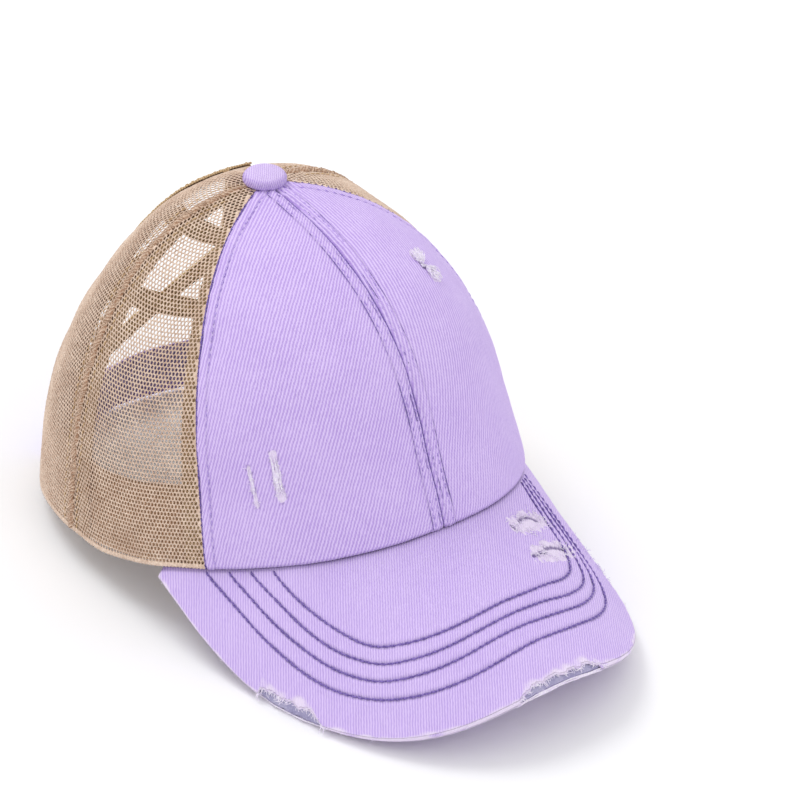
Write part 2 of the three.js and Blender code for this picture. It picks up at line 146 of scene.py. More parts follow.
# Brim stitch rows: the place round the brim, and how far the row lies inside the edge there
BRIM_ROWS = [
    [(-0.86, 32.0), (-0.82, 26.2), (-0.76, 26.9), (-0.7, 26.3), (-0.65, 24.5), (-0.59, 21.5), (-0.52, 17.5),
     (-0.45, 15.2), (-0.36, 14.6), (-0.27, 15.3), (-0.15, 16.1), (0.0, 17.8), (0.15, 18.3), (0.28, 16.8),
     (0.36, 17.0), (0.41, 21.2), (0.47, 35.4), (0.53, 53.5), (0.57, 66.0)],
    [(-0.77, 42.0), (-0.73, 37.3), (-0.65, 35.6), (-0.57, 30.2), (-0.51, 26.9), (-0.45, 23.6),
     (-0.35, 21.3), (-0.27, 22.6), (-0.07, 25.2), (0.12, 25.2), (0.28, 23.4), (0.35, 23.2), (0.39, 27.0),
     (0.45, 40.0), (0.5, 57.0), (0.54, 68.0)],
    [(-0.69, 51.0), (-0.65, 46.1), (-0.57, 41.3), (-0.5, 35.2), (-0.43, 30.8), (-0.33, 27.8), (-0.27, 28.9),
     (-0.09, 30.8), (0.1, 31.5), (0.28, 28.5), (0.33, 28.7), (0.37, 32.5), (0.42, 46.0), (0.48, 60.0),
     (0.52, 69.0)],
    [(-0.61, 59.0), (-0.57, 52.5), (-0.52, 47.0), (-0.43, 40.4), (-0.34, 34.6), (-0.22, 35.7), (0.0, 36.8),
     (0.15, 37.5), (0.24, 35.4), (0.31, 35.4), (0.36, 41.0), (0.4, 52.8), (0.46, 62.3), (0.5, 71.0)],
]

# The crown's axis stands at the button
button_low, button_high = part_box("button")
SHIFT_Y = (button_low.y + button_high.y) * 500 - CROWN_TOP_SETBACK
CROWN_AXIS_Y = SHIFT_Y + CROWN_TOP_SETBACK

SIDES = (("right", -1), ("left", 1))
AT_RIM = np.array(0.0)
METRES = 0.001
TINY = 1e-9


# Lines and grids

def unit(vector):
    return vector / np.linalg.norm(vector)


def spread(values, columns):
    """A grid with that many columns. Each column is the list of values."""
    return values[:, None] * np.ones((1, columns))


def line_lengths(points):
    """The distance along a line to each of its points."""
    return np.concatenate([[0], np.cumsum(np.linalg.norm(np.diff(points, axis=0), axis=1))])


def point_along(distance, lengths, points):
    """The points at given distances along a line."""
    return np.stack([np.interp(distance, lengths, points[:, k]) for k in range(3)], axis=-1)


def flat_points(u, v):
    """Cloth coordinates as points, with 0 as the third."""
    return np.stack([u, v, 0 * u], axis=-1)


# Shape of the crown

def blend(bearing, front, side, back):
    toward_front = np.cos(np.radians(bearing))
    front_share = np.maximum(toward_front, 0) ** SIDE_BLEND_POWER
    back_share = np.maximum(-toward_front, 0) ** SIDE_BLEND_POWER
    return front * front_share + back * back_share + side * (1 - front_share - back_share)


def rim_reach(bearing):
    across = np.abs(np.sin(np.radians(bearing))) / CROWN_HALF_WIDTH
    along = np.cos(np.radians(bearing))
    reach = np.where(along > 0, CROWN_FRONT_REACH, CROWN_BACK_REACH)
    total = across ** RIM_SQUARENESS + np.abs(along / reach) ** RIM_SQUARENESS
    return total ** (-1 / RIM_SQUARENESS)


def rim_height(bearing):
    return blend(bearing, RIM_FRONT_HEIGHT, RIM_SIDE_HEIGHT, RIM_BACK_HEIGHT)


def section_share(column, rise):
    values = SECTIONS[column]
    low_end = 2 * values[0] - values[1]
    high_end = 2 * values[-1] - values[-2]
    padded = np.concatenate([[low_end], values, [high_end]])
    place = np.clip(rise / SECTION_STEP, 0, len(values) - 1)
    index = np.minimum(place.astype(int), len(values) - 2)
    t = place - index
    a, b, c, d = (padded[index + k] for k in range(4))
    cubic = 3 * (b - c) + d - a
    square = 2 * a - 5 * b + 4 * c - d
    return b + 0.5 * t * (c - a + t * (square + t * cubic))


def crown_point(bearing, rise):
    bearing, rise = np.broadcast_arrays(np.asarray(bearing, float), np.asarray(rise, float))
    front, side, back = (section_share(name, rise) for name in ("front", "side", "back"))
    reach = rim_reach(bearing)
    share = np.cos(np.radians(rise)) * blend(bearing, front, side, back)
    rim_y = -reach * np.cos(np.radians(bearing))
    base = rim_height(bearing)
    x = reach * np.sin(np.radians(bearing)) * share
    y = CROWN_TOP_SETBACK + (rim_y - CROWN_TOP_SETBACK) * share + SHIFT_Y
    z = base + (CROWN_TOP_HEIGHT - base) * np.sin(np.radians(rise))
    return np.stack([x, y, z], axis=-1)


def crown_axes(bearing, rise):
    """Millimetres gained for each degree across and up, and the outward normal, level at the rim."""
    step = 0.2
    bearing, rise = np.broadcast_arrays(np.asarray(bearing, float), np.asarray(rise, float))
    low = np.maximum(rise - step, 0)
    across = crown_point(bearing + step, rise) - crown_point(bearing - step, rise)
    up = crown_point(bearing, rise + step) - crown_point(bearing, low)
    across = across / (2 * step)
    up = up / (rise + step - low)[..., None]
    normal = np.cross(across, up)
    normal[..., 2] *= np.clip(rise / RIM_LEVEL_RISE, 0, 1)
    normal /= np.linalg.norm(normal, axis=-1, keepdims=True)
    return across, up, normal


def layer_point(bearing, rise, lift):
    normal = crown_axes(bearing, rise)[2]
    return crown_point(bearing, rise) + normal * np.asarray(lift, float)[..., None]


def radius_at(bearing, rise):
    point = crown_point(bearing, rise)
    return np.hypot(point[..., 0], point[..., 1] - SHIFT_Y - CROWN_TOP_SETBACK)


def edge_at_rim(inset):
    return float(opening_edge(AT_RIM, inset))


def bearing_for(length, bearing, rise):
    return np.degrees(length / radius_at(bearing, rise))


def rise_at_height(bearing, height):
    base = rim_height(bearing)
    return np.degrees(np.arcsin((height - base) / (CROWN_TOP_HEIGHT - base)))


def rise_at_distance(bearing, distance):
    probe = 10.0
    length = np.linalg.norm(crown_point(bearing, 0.0) - crown_point(bearing, probe), axis=-1)
    return distance / length * probe


def seam_bearing(seam, rise):
    return seam[0] + (seam[1] - seam[0]) * np.asarray(rise, float) / 90


def opening_edge(rise, inset=0.0):
    rise = np.asarray(rise, float)
    share = np.maximum(1 - rise / OPENING_TOP_RISE, 0)
    half = np.maximum(OPENING_HALF_WIDTH * share ** OPENING_TAPER, 0.15) + inset
    bearing = np.full_like(rise, 180.0)
    for _ in range(6):
        bearing = 180 - np.degrees(np.arcsin(half / radius_at(bearing, rise)))
    return bearing


def smoothstep(value, low, high):
    t = np.clip((value - low) / (high - low), 0, 1)
    return t * t * (3 - 2 * t)


def bump(value, width):
    """1 at zero and 0 from the width on, smoothly."""
    return 1 - smoothstep(np.abs(value), 0, width)


def wobble(x, y, size, seed):
    """Smooth noise from -1 to 1 with features of about that size."""
    random = np.random.default_rng(seed)
    total = np.zeros(np.broadcast(x, y).shape)
    waves = 7
    for _ in range(waves):
        turn = random.uniform(0, 2 * math.pi)
        rate = 2 * math.pi / (size * random.uniform(0.6, 1.7))
        phase = random.uniform(0, 2 * math.pi)
        total += np.sin(rate * (x * math.cos(turn) + y * math.sin(turn)) + phase)
    return total / math.sqrt(waves) / 1.4


# Meshes

def new_piece(name, points, faces, material, replaces=(), attributes=None):
    """A mesh object in metres that rides on the cap, stands on the floor and takes a material."""
    points = points.copy()
    points[:, 2] = np.maximum(points[:, 2], 0.0)
    mesh = bpy.data.meshes.new(name)
    corners = np.concatenate([f.reshape(-1) for f in faces]).astype(np.int32)
    sizes = np.concatenate([np.full(len(f), f.shape[1]) for f in faces])
    starts = np.concatenate([[0], np.cumsum(sizes)[:-1]]).astype(np.int32)
    mesh.vertices.add(len(points))
    mesh.vertices.foreach_set("co", (points * METRES).astype(np.float32).reshape(-1))
    mesh.loops.add(len(corners))
    mesh.loops.foreach_set("vertex_index", corners)
    mesh.polygons.add(len(sizes))
    mesh.polygons.foreach_set("loop_start", starts)
    mesh.polygons.foreach_set("use_smooth", np.ones(len(sizes), dtype=bool))
    for key, values in (attributes or {}).items():
        values = np.asarray(values, np.float32)
        kind, field = ("FLOAT_VECTOR", "vector") if values.ndim == 2 else ("FLOAT", "value")
        layer = mesh.attributes.new(key, kind, "POINT")
        layer.data.foreach_set(field, values.reshape(-1))
    mesh.update(calc_edges=True)
    mesh.validate()
    mesh.materials.append(material)
    piece = bpy.data.objects.new(name, mesh)
    bpy.context.scene.collection.objects.link(piece)
    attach(piece, "root")
    if replaces:
        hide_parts(*replaces)
    return piece


def bridge(first, second, flip):
    """Triangles between two lines of vertices that need not have the same count."""
    triangles = []
    i = j = 0
    last_i, last_j = len(first) - 1, len(second) - 1
    while i < last_i or j < last_j:
        if j == last_j or (i < last_i and (i + 1) * last_j <= (j + 1) * last_i):
            triangles.append((first[i + 1], first[i], second[j]))
            i += 1
        else:
            triangles.append((first[i], second[j], second[j + 1]))
            j += 1
    triangles = np.array(triangles)
    return triangles[:, ::-1] if flip else triangles


def signed_volume(points, faces):
    total = 0.0
    for face in faces:
        for k in range(1, face.shape[1] - 1):
            a, b, c = points[face[:, 0]], points[face[:, k]], points[face[:, k + 1]]
            total += (a * np.cross(b, c)).sum()
    return total / 6


def quads(a, b, c, d):
    """Four-sided faces from four equal blocks of point numbers."""
    return np.stack([part.reshape(-1) for part in (a, b, c, d)], axis=1)


def two_sided(outer, inner):
    """A closed body between two grids with the same rows, whose columns may differ."""
    rows, wide = outer.shape[:2]
    narrow = inner.shape[1]
    points = np.concatenate([outer.reshape(-1, 3), inner.reshape(-1, 3)])
    out = np.arange(rows * wide).reshape(rows, wide)
    into = rows * wide + np.arange(rows * narrow).reshape(rows, narrow)
    faces = [
        quads(out[:-1, :-1], out[:-1, 1:], out[1:, 1:], out[1:, :-1]),
        quads(into[:-1, :-1], into[1:, :-1], into[1:, 1:], into[:-1, 1:]),
        quads(out[:-1, 0], out[1:, 0], into[1:, 0], into[:-1, 0]),
        quads(out[:-1, -1], into[:-1, -1], into[1:, -1], out[1:, -1]),
        bridge(out[0], into[0], False),
        bridge(out[-1], into[-1], True),
    ]
    return facing_out(points, faces)


def facing_out(points, faces):
    """The same body, with its faces turned over if they look inwards."""
    if signed_volume(points, faces) < 0:
        faces = [f[:, ::-1] for f in faces]
    return points, faces


def ring_numbers(places, turns):
    """Point numbers ring by ring, the numbers one turn on, and the faces between the rings."""
    index = np.arange(places * turns).reshape(places, turns)
    after = np.roll(index, -1, axis=1)
    return index, after, quads(index[:-1], after[:-1], after[1:], index[1:])


def ring_body(rings):
    """A closed body through rings of points, rings[place][turn], capped at both ends."""
    index, _, walls = ring_numbers(*rings.shape[:2])
    return facing_out(rings.reshape(-1, 3), [walls, index[:1, ::-1].copy(), index[-1:].copy()])


def thread_piece(name, bodies, material):
    """One mesh from many bodies, each with its own points and faces."""
    points = []
    faces = {3: [], 4: []}
    start = 0
    for body_points, body_faces in bodies:
        points.append(body_points)
        for face in body_faces:
            faces[face.shape[1]].append(face + start)
        start += len(body_points)
    faces = [np.concatenate(f) for f in faces.values() if f]
    new_piece(name, np.concatenate(points), faces, material)


THREAD_GUIDE = np.array([0.31, 0.22, 0.93])  # a direction that no thread runs along


def thread_body(path, radius, sides=5, tips=0.3):
    """A round thread along a path. Its ends are thinner, by the share that tips gives."""
    path = np.asarray(path, float)
    tangent = np.gradient(path, axis=0)
    tangent /= np.linalg.norm(tangent, axis=1, keepdims=True) + TINY
    side = np.cross(tangent, THREAD_GUIDE)
    side /= np.linalg.norm(side, axis=1, keepdims=True) + TINY
    over = np.cross(side, tangent)
    turns = np.arange(sides) * 2 * math.pi / sides
    along = np.linspace(0, 1, len(path))
    size = radius * (tips + (1 - tips) * np.sqrt(np.clip(4 * along * (1 - along), 0, 1)))
    rings = path[:, None] + size[:, None, None] * (
        side[:, None] * np.cos(turns)[None, :, None] + over[:, None] * np.sin(turns)[None, :, None])
    points = np.concatenate([rings.reshape(-1, 3), path[:1], path[-1:]])
    index, after, walls = ring_numbers(len(path), sides)
    start, end = len(points) - 2, len(points) - 1
    caps = [np.stack([np.full(sides, start), after[0], index[0]], axis=1),
            np.stack([np.full(sides, end), index[-1], after[-1]], axis=1)]
    return points, [walls, np.concatenate(caps)]


def stitch_row(points, normals, seed, pitch, radius, share=0.72, sides=6, skip=None):
    """Separate stitches along a line on a surface. Each one dives into it at both ends."""
    random = np.random.default_rng(seed)
    length = line_lengths(points)
    count = max(int(length[-1] / pitch), 1)
    step = length[-1] / count
    bodies = []
    for k in range(count):
        start = (k + (1 - share) / 2 + random.uniform(-0.04, 0.04)) * step
        if skip is not None and skip(start / length[-1]):
            continue
        t = np.linspace(0, 1, 5)
        at = start + t * step * share
        place = point_along(at, length, points)
        normal = point_along(at, length, normals)
        rise = radius * (1.75 * np.sqrt(np.clip(4 * t * (1 - t), 0, 1)) - 0.95)
        slant = np.cross(place[-1] - place[0], normal[2])
        slant /= np.linalg.norm(slant) + TINY
        place = place + normal * rise[:, None] + slant * ((t - 0.5) * radius * 0.9)[:, None]
        bodies.append(thread_body(place, radius, sides=sides, tips=0.55))
    return bodies


# Materials

class Paint:
    """A node material with short calls for its nodes."""

    def __init__(self, name, roughness=0.85, sheen=0.0, specular=0.3):
        self.material = bpy.data.materials.new(name)
        self.material.use_nodes = True
        self.tree = self.material.node_tree
        self.shader = self.tree.nodes["Principled BSDF"]
        for socket, value in (("Roughness", roughness), ("Specular IOR Level", specular),
                              ("Sheen Weight", sheen), ("Sheen Roughness", 0.5)):
            self.shader.inputs[socket].default_value = value

    def plug(self, value, socket):
        if isinstance(value, bpy.types.NodeSocket):
            self.tree.links.new(value, socket)
        elif isinstance(value, tuple) and len(value) == 3 and socket.type == "RGBA":
            socket.default_value = (*value, 1)
        else:
            socket.default_value = value

    def node(self, kind, values=(), **settings):
        """A node with its settings, and with values for its first sockets."""
        node = self.tree.nodes.new(f"ShaderNode{kind}")
        for key, value in settings.items():
            setattr(node, key, value)
        for value, socket in zip(values, node.inputs):
            self.plug(value, socket)
        return node

    def attribute(self, name, output="Fac"):
        return self.node("Attribute", attribute_name=name).outputs[output]

    def cloth(self):
        """The cloth's own flat coordinates in millimetres: across, along, and both together."""
        flat = self.attribute("cloth", "Vector")
        parts = self.node("SeparateXYZ", (flat,)).outputs
        return parts["X"], parts["Y"], flat

    def place(self):
        """The place on the object, in millimetres."""
        spot = self.node("TexCoord").outputs["Object"]
        scale = self.node("VectorMath", (spot,), operation="SCALE")
        scale.inputs["Scale"].default_value = 1 / METRES
        return scale.outputs[0]

    def math(self, operation, *values):
        return self.node("Math", values, operation=operation).outputs[0]

    def times(self, a, b):
        return self.math("MULTIPLY", a, b)

    def total(self, *parts, start=0.0):
        """The sum of values, each times its weight."""
        result = start
        for value, weight in parts:
            result = self.math("MULTIPLY_ADD", value, weight, result)
        return result

    def stretched(self, u, v, u_rate, v_rate):
        """Flat coordinates that run slower or faster than the cloth's own."""
        return self.node("CombineXYZ", (self.times(u, u_rate), self.times(v, v_rate))).outputs[0]

    def noise(self, vector, size, detail=2.0, rough=0.5):
        """Noise from 0 to 1 with features of that size, in the vector's units."""
        node = self.node("TexNoise", (vector,))
        for socket, value in (("Scale", 1 / size), ("Detail", detail), ("Roughness", rough)):
            node.inputs[socket].default_value = value
        return node.outputs["Fac"]

    def fit(self, value, low, high, to_low=0.0, to_high=1.0):
        values = (value, low, high, to_low, to_high)
        return self.node("MapRange", values, interpolation_type="SMOOTHSTEP").outputs[0]

    def wave(self, phase):
        """0 to 1, once for each unit of phase."""
        return self.total((self.math("SINE", self.times(phase, 2 * math.pi)), 0.5), start=0.5)

    def weave(self, u, v, u_size, v_size):
        return self.times(self.wave(self.times(u, 1 / u_size)), self.wave(self.times(v, 1 / v_size)))

    def mix(self, share, a, b):
        node = self.node("Mix", data_type="RGBA")
        self.plug(share, node.inputs["Factor"])
        self.plug(a, node.inputs[6])
        self.plug(b, node.inputs[7])
        return node.outputs[2]

    def tint(self, tone, low, high, dark, light):
        """The dark colour up to the low tone, and the light one from the high tone on."""
        return self.mix(self.fit(tone, low, high), dark, light)

    def overlay(self, colour, name, amount, shade):
        """A shade over the colour, as far as the mesh has the attribute of that name."""
        return self.mix(self.times(self.attribute(name), amount), colour, shade)

    def finish(self, colour, height=None, depth=0.15):
        """Sets the colour, and a bump that is that many millimetres deep."""
        self.plug(colour, self.shader.inputs["Base Color"])
        if height is not None:
            node = self.node("Bump")
            node.inputs["Strength"].default_value = 1.0
            node.inputs["Distance"].default_value = depth * METRES
            self.plug(height, node.inputs["Height"])
            self.plug(node.outputs[0], self.shader.inputs["Normal"])
        return self.material


def rgb(red, green, blue):
    """A linear colour from its usual 0 to 255 values."""
    def linear(value):
        value = value / 255
        return value / 12.92 if value <= 0.04045 else ((value + 0.055) / 1.055) ** 2.4
    return (linear(red), linear(green), linear(blue))


LILAC_LIGHT = rgb(224, 203, 250)
LILAC_DARK = rgb(186, 157, 226)
LILAC_WORN = rgb(238, 224, 249)
LILAC_SHADE = rgb(92, 72, 132)
# A guessed brown lining for the front panels' inner face, painted near black: partly painted shade inside
# the crown.
LINING_WITH_PAINTED_SHADE = rgb(66, 34, 22)
BRIM_DARK = rgb(192, 165, 232)


def twill_material(name, lean, pitch, dark=LILAC_DARK, lining_with_shade=None):
    """Washed cotton twill: slanted broken ribs, soft fading, whitened where it is worn, darkened with
    painted shade in seams, grooves and slits, and, when a lining colour is given, a dark brown inner face
    that is partly painted shade.
    """
    paint = Paint(name, roughness=0.9, sheen=0.15, specular=0.15)
    u, v, flat = paint.cloth()
    across = paint.total((v, -lean), start=u)
    drift = paint.noise(paint.stretched(u, v, 0.5, 0.25), 1.0)
    ribs = paint.wave(paint.total((across, 1 / pitch), (drift, 0.55)))
    steps = paint.wave(paint.total((v, 1 / 1.15), (across, 0.9)))
    yarn = paint.noise(paint.stretched(across, v, 1.3, 0.55), 0.5)
    fluff = paint.noise(flat, 0.35, rough=0.6)
    fade = paint.noise(flat, 26.0, detail=3.0)
    spots = paint.noise(flat, 3.2, detail=3.0, rough=0.6)
    tone = paint.total((ribs, 0.62), (yarn, 0.5), (steps, 0.16), (spots, 0.3), (fade, 0.4), start=-0.35)
    colour = paint.tint(tone, 0.18, 1.0, dark, LILAC_LIGHT)
    ragged = paint.total((paint.attribute("worn"), 1.0), (fluff, 0.5), start=-0.25)
    colour = paint.tint(ragged, 0.3, 0.8, colour, LILAC_WORN)
    # Painted shade: the shade colour darkens seams, stitch grooves, slits and the join at the rim.
    colour = paint.overlay(colour, "gap", 1.0, LILAC_SHADE)
    # The inner face gets the dark lining colour, which carries painted shade.
    if lining_with_shade:
        colour = paint.overlay(colour, "inside", 1.0, lining_with_shade)
    return paint.finish(colour, paint.total((ribs, 0.75), (yarn, 0.5), (fluff, 0.25)), depth=0.2)


def mesh_material():
    """Knitted yarn: two tones, with a fine twist."""
    paint = Paint("knitted_mesh", roughness=0.8, sheen=0.15, specular=0.3)
    spot = paint.place()
    tone = paint.total((paint.noise(spot, 0.9, rough=0.6), 0.8), (paint.noise(spot, 14.0), 0.4))
    colour = paint.tint(tone, 0.3, 0.9, rgb(196, 164, 142), rgb(244, 221, 201))
    return paint.finish(colour, paint.noise(spot, 0.3, detail=1.0), depth=0.08)


def ridge_material():
    """The mesh cloth's rolled edge: yarn ends lie across it, and its darker brown tone is partly painted
    shade among its folds.
    """
    paint = Paint("rolled_mesh_edge", roughness=0.85, sheen=0.15)
    u, v, flat = paint.cloth()
    ribs = paint.wave(paint.total((v, 1 / 1.7), (u, 0.6), (paint.noise(flat, 3.0), 2.5)))
    yarn = paint.noise(flat, 0.7, rough=0.6)
    tone = paint.total((ribs, 0.25), (yarn, 0.8))
    # The dark brown end is partly painted shade among the ridge's folds; the rest is the yarn's random
    # tone.
    colour = paint.tint(tone, 0.3, 0.85, rgb(168, 126, 98), rgb(238, 212, 188))
    return paint.finish(colour, paint.total((ribs, 1.0), (yarn, 1.0)), depth=0.3)


def tape_material():
    """Woven tape in a herringbone: short slanted ribs that turn at each column."""
    paint = Paint("herringbone_tape", roughness=0.85, sheen=0.15)
    u, v, flat = paint.cloth()
    column, rib = 2.6, 1.25
    fold = paint.math("PINGPONG", paint.math("ADD", u, 50.0), column)
    ribs = paint.wave(paint.total((v, 1 / rib), (fold, 1.0)))
    yarn = paint.noise(flat, 0.35, rough=0.6)
    tone = paint.total((ribs, 0.55), (yarn, 0.45), (paint.noise(flat, 9.0), 0.3), start=-0.15)
    colour = paint.tint(tone, 0.15, 0.9, rgb(182, 150, 112), rgb(232, 205, 162))
    return paint.finish(colour, paint.total((ribs, 1.0), (yarn, 0.3)), depth=0.2)


def elastic_material():
    """Fine cross ribs between a pale raised cord and grooves darkened with painted shade."""
    paint = Paint("ribbed_elastic", roughness=0.7, sheen=0.1, specular=0.35)
    u, v, _ = paint.cloth()
    ribs = paint.wave(paint.times(v, 1 / 0.62))
    yarn = paint.noise(paint.stretched(u, v, 2.0, 0.8), 0.4, rough=0.6)
    tone = paint.total((ribs, 0.45), (yarn, 0.6))
    colour = paint.tint(tone, 0.2, 0.95, rgb(196, 156, 92), rgb(240, 208, 144))
    colour = paint.overlay(colour, "cord", 0.75, rgb(246, 216, 146))
    # Painted shade in the grooves.
    colour = paint.overlay(colour, "groove_shade", 0.6, rgb(158, 116, 66))
    return paint.finish(colour, paint.total((ribs, 1.0), (yarn, 0.4)), depth=0.12)


def band_material():
    """Brown woven band; the face that shows through the mesh is painted paler, a painted highlight for the
    light that reaches it through the mesh.
    """
    paint = Paint("brown_band", roughness=0.85, sheen=0.2, specular=0.2)
    u, v, flat = paint.cloth()
    weave = paint.weave(u, v, 0.8, 0.8)
    yarn = paint.noise(flat, 0.6, rough=0.6)
    tone = paint.total((weave, 0.4), (yarn, 0.5), (paint.noise(flat, 18.0), 0.3), start=-0.1)
    colour = paint.tint(tone, 0.1, 0.9, rgb(92, 50, 34), rgb(142, 88, 64))
    # Painted highlight: the outer face, seen through the mesh, is painted pale tan.
    colour = paint.overlay(colour, "outer", 0.8, rgb(214, 178, 142))
    return paint.finish(colour, paint.total((weave, 1.0), (yarn, 1.0)), depth=0.12)


def strap_material():
    """Closely woven lilac webbing, with a pale selvedge along its edges."""
    paint = Paint("strap_webbing", roughness=0.8, sheen=0.25, specular=0.25)
    u, v, flat = paint.cloth()
    weave = paint.weave(u, v, 0.9, 0.7)
    yarn = paint.noise(flat, 0.5, rough=0.6)
    tone = paint.total((weave, 0.3), (yarn, 0.6), (paint.noise(flat, 12.0), 0.3), start=-0.15)
    colour = paint.tint(tone, 0.1, 0.9, rgb(146, 112, 206), rgb(184, 154, 236))
    colour = paint.overlay(colour, "cord", 0.7, rgb(214, 196, 248))
    return paint.finish(colour, paint.total((weave, 1.0), (yarn, 0.6)), depth=0.12)


def pile_material():
    """Fuzzy loops, with a pale woven edge."""
    paint = Paint("loop_pile", roughness=0.95, sheen=0.4, specular=0.1)
    flat = paint.cloth()[2]
    curl = paint.noise(flat, 0.8, detail=3.0, rough=0.7)
    tone = paint.total((curl, 0.8), (paint.noise(flat, 2.6), 0.3))
    colour = paint.tint(tone, 0.35, 0.8, rgb(104, 84, 150), rgb(206, 190, 232))
    colour = paint.overlay(colour, "cord", 1.0, rgb(202, 176, 242))
    return paint.finish(colour, curl, depth=0.5)


def leather_material():
    """Brown leather with a fine grain, darker at its cut edge."""
    paint = Paint("patch_leather", roughness=0.55, specular=0.45)
    spot = paint.place()
    cells = paint.node("TexVoronoi", (spot,), feature="DISTANCE_TO_EDGE")
    cells.inputs["Scale"].default_value = 1 / 0.9
    grain = paint.fit(cells.outputs["Distance"], 0.0, 0.25)
    cloud = paint.noise(spot, 6.0, detail=3.0, rough=0.6)
    colour = paint.tint(cloud, 0.3, 0.75, rgb(118, 62, 34), rgb(164, 98, 58))
    colour = paint.mix(paint.total((grain, -0.35), start=0.35), colour, rgb(78, 38, 22))
    colour = paint.overlay(colour, "cord", 0.8, rgb(70, 34, 20))
    paint.plug(paint.fit(cloud, 0.3, 0.8, 0.5, 0.68), paint.shader.inputs["Roughness"])
    height = paint.total((grain, 1.0), (paint.noise(spot, 1.5, detail=3.0), 0.8))
    return paint.finish(colour, height, depth=0.14)


def board_material():
    """Pressed fibre."""
    paint = Paint("brim_stiffener", roughness=0.9, specular=0.2)
    spot = paint.place()
    fibre = paint.noise(spot, 0.7, detail=3.0, rough=0.65)
    tone = paint.total((fibre, 0.6), (paint.noise(spot, 5.0), 0.5))
    colour = paint.tint(tone, 0.3, 0.85, rgb(156, 150, 190), rgb(202, 197, 224))
    return paint.finish(colour, fibre, depth=0.25)


def thread_material(name, dark, light, roughness=0.6):
    paint = Paint(name, roughness=roughness, sheen=0.2, specular=0.35)
    spot = paint.place()
    colour = paint.tint(paint.noise(spot, 0.7, rough=0.6), 0.3, 0.7, dark, light)
    return paint.finish(colour, paint.noise(spot, 0.25, detail=1.0), depth=0.08)


panel_twill = twill_material("lilac_twill", 0.43, 1.4, lining_with_shade=LINING_WITH_PAINTED_SHADE)
brim_twill = twill_material("brim_twill", -0.69, 1.16, dark=BRIM_DARK)
button_twill = twill_material("button_twill", 0.7, 0.95)
knitted = mesh_material()
tape_cloth = tape_material()
elastic_cloth = elastic_material()
ridge_cloth = ridge_material()
band_cloth = band_material()
strap_cloth = strap_material()
pile_cloth = pile_material()
leather = leather_material()
board_stuff = board_material()
purple_thread = thread_material("purple_thread", rgb(88, 68, 140), rgb(142, 118, 196))
lilac_thread = thread_material("lilac_thread", rgb(160, 132, 212), rgb(206, 184, 244))
tan_thread = thread_material("tan_thread", rgb(178, 142, 98), rgb(226, 196, 148))
fuzz_thread = thread_material("fuzz_thread", rgb(204, 188, 234), rgb(230, 216, 248), roughness=0.9)
pale_thread = thread_material("pale_thread", rgb(230, 217, 246), rgb(252, 247, 255), roughness=0.9)


# Crown: mesh panels

NET_PITCH = 1.7
NET_ROW = 1.6
NET_CORNERS = np.array([(0.0, -1.026), (0.85, -0.574), (0.85, 0.574),
                        (0.0, 1.026), (-0.85, 0.574), (-0.85, -0.574)])
NET_HOLE = np.array([(0.0, -0.7), (0.5, -0.37), (0.5, 0.37), (0.0, 0.7), (-0.5, 0.37), (-0.5, -0.37)])
NET_FIRST_ROW = 0.62
NET_OVERHANG = 0.35
NET_LIFT = -0.4
NET_HALF_DEPTH = 0.3
NET_SOLID_EDGE = 1.0
NET_SOLID_FOOT = 1.7
NET_SOLID_HALF_DEPTH = 0.22


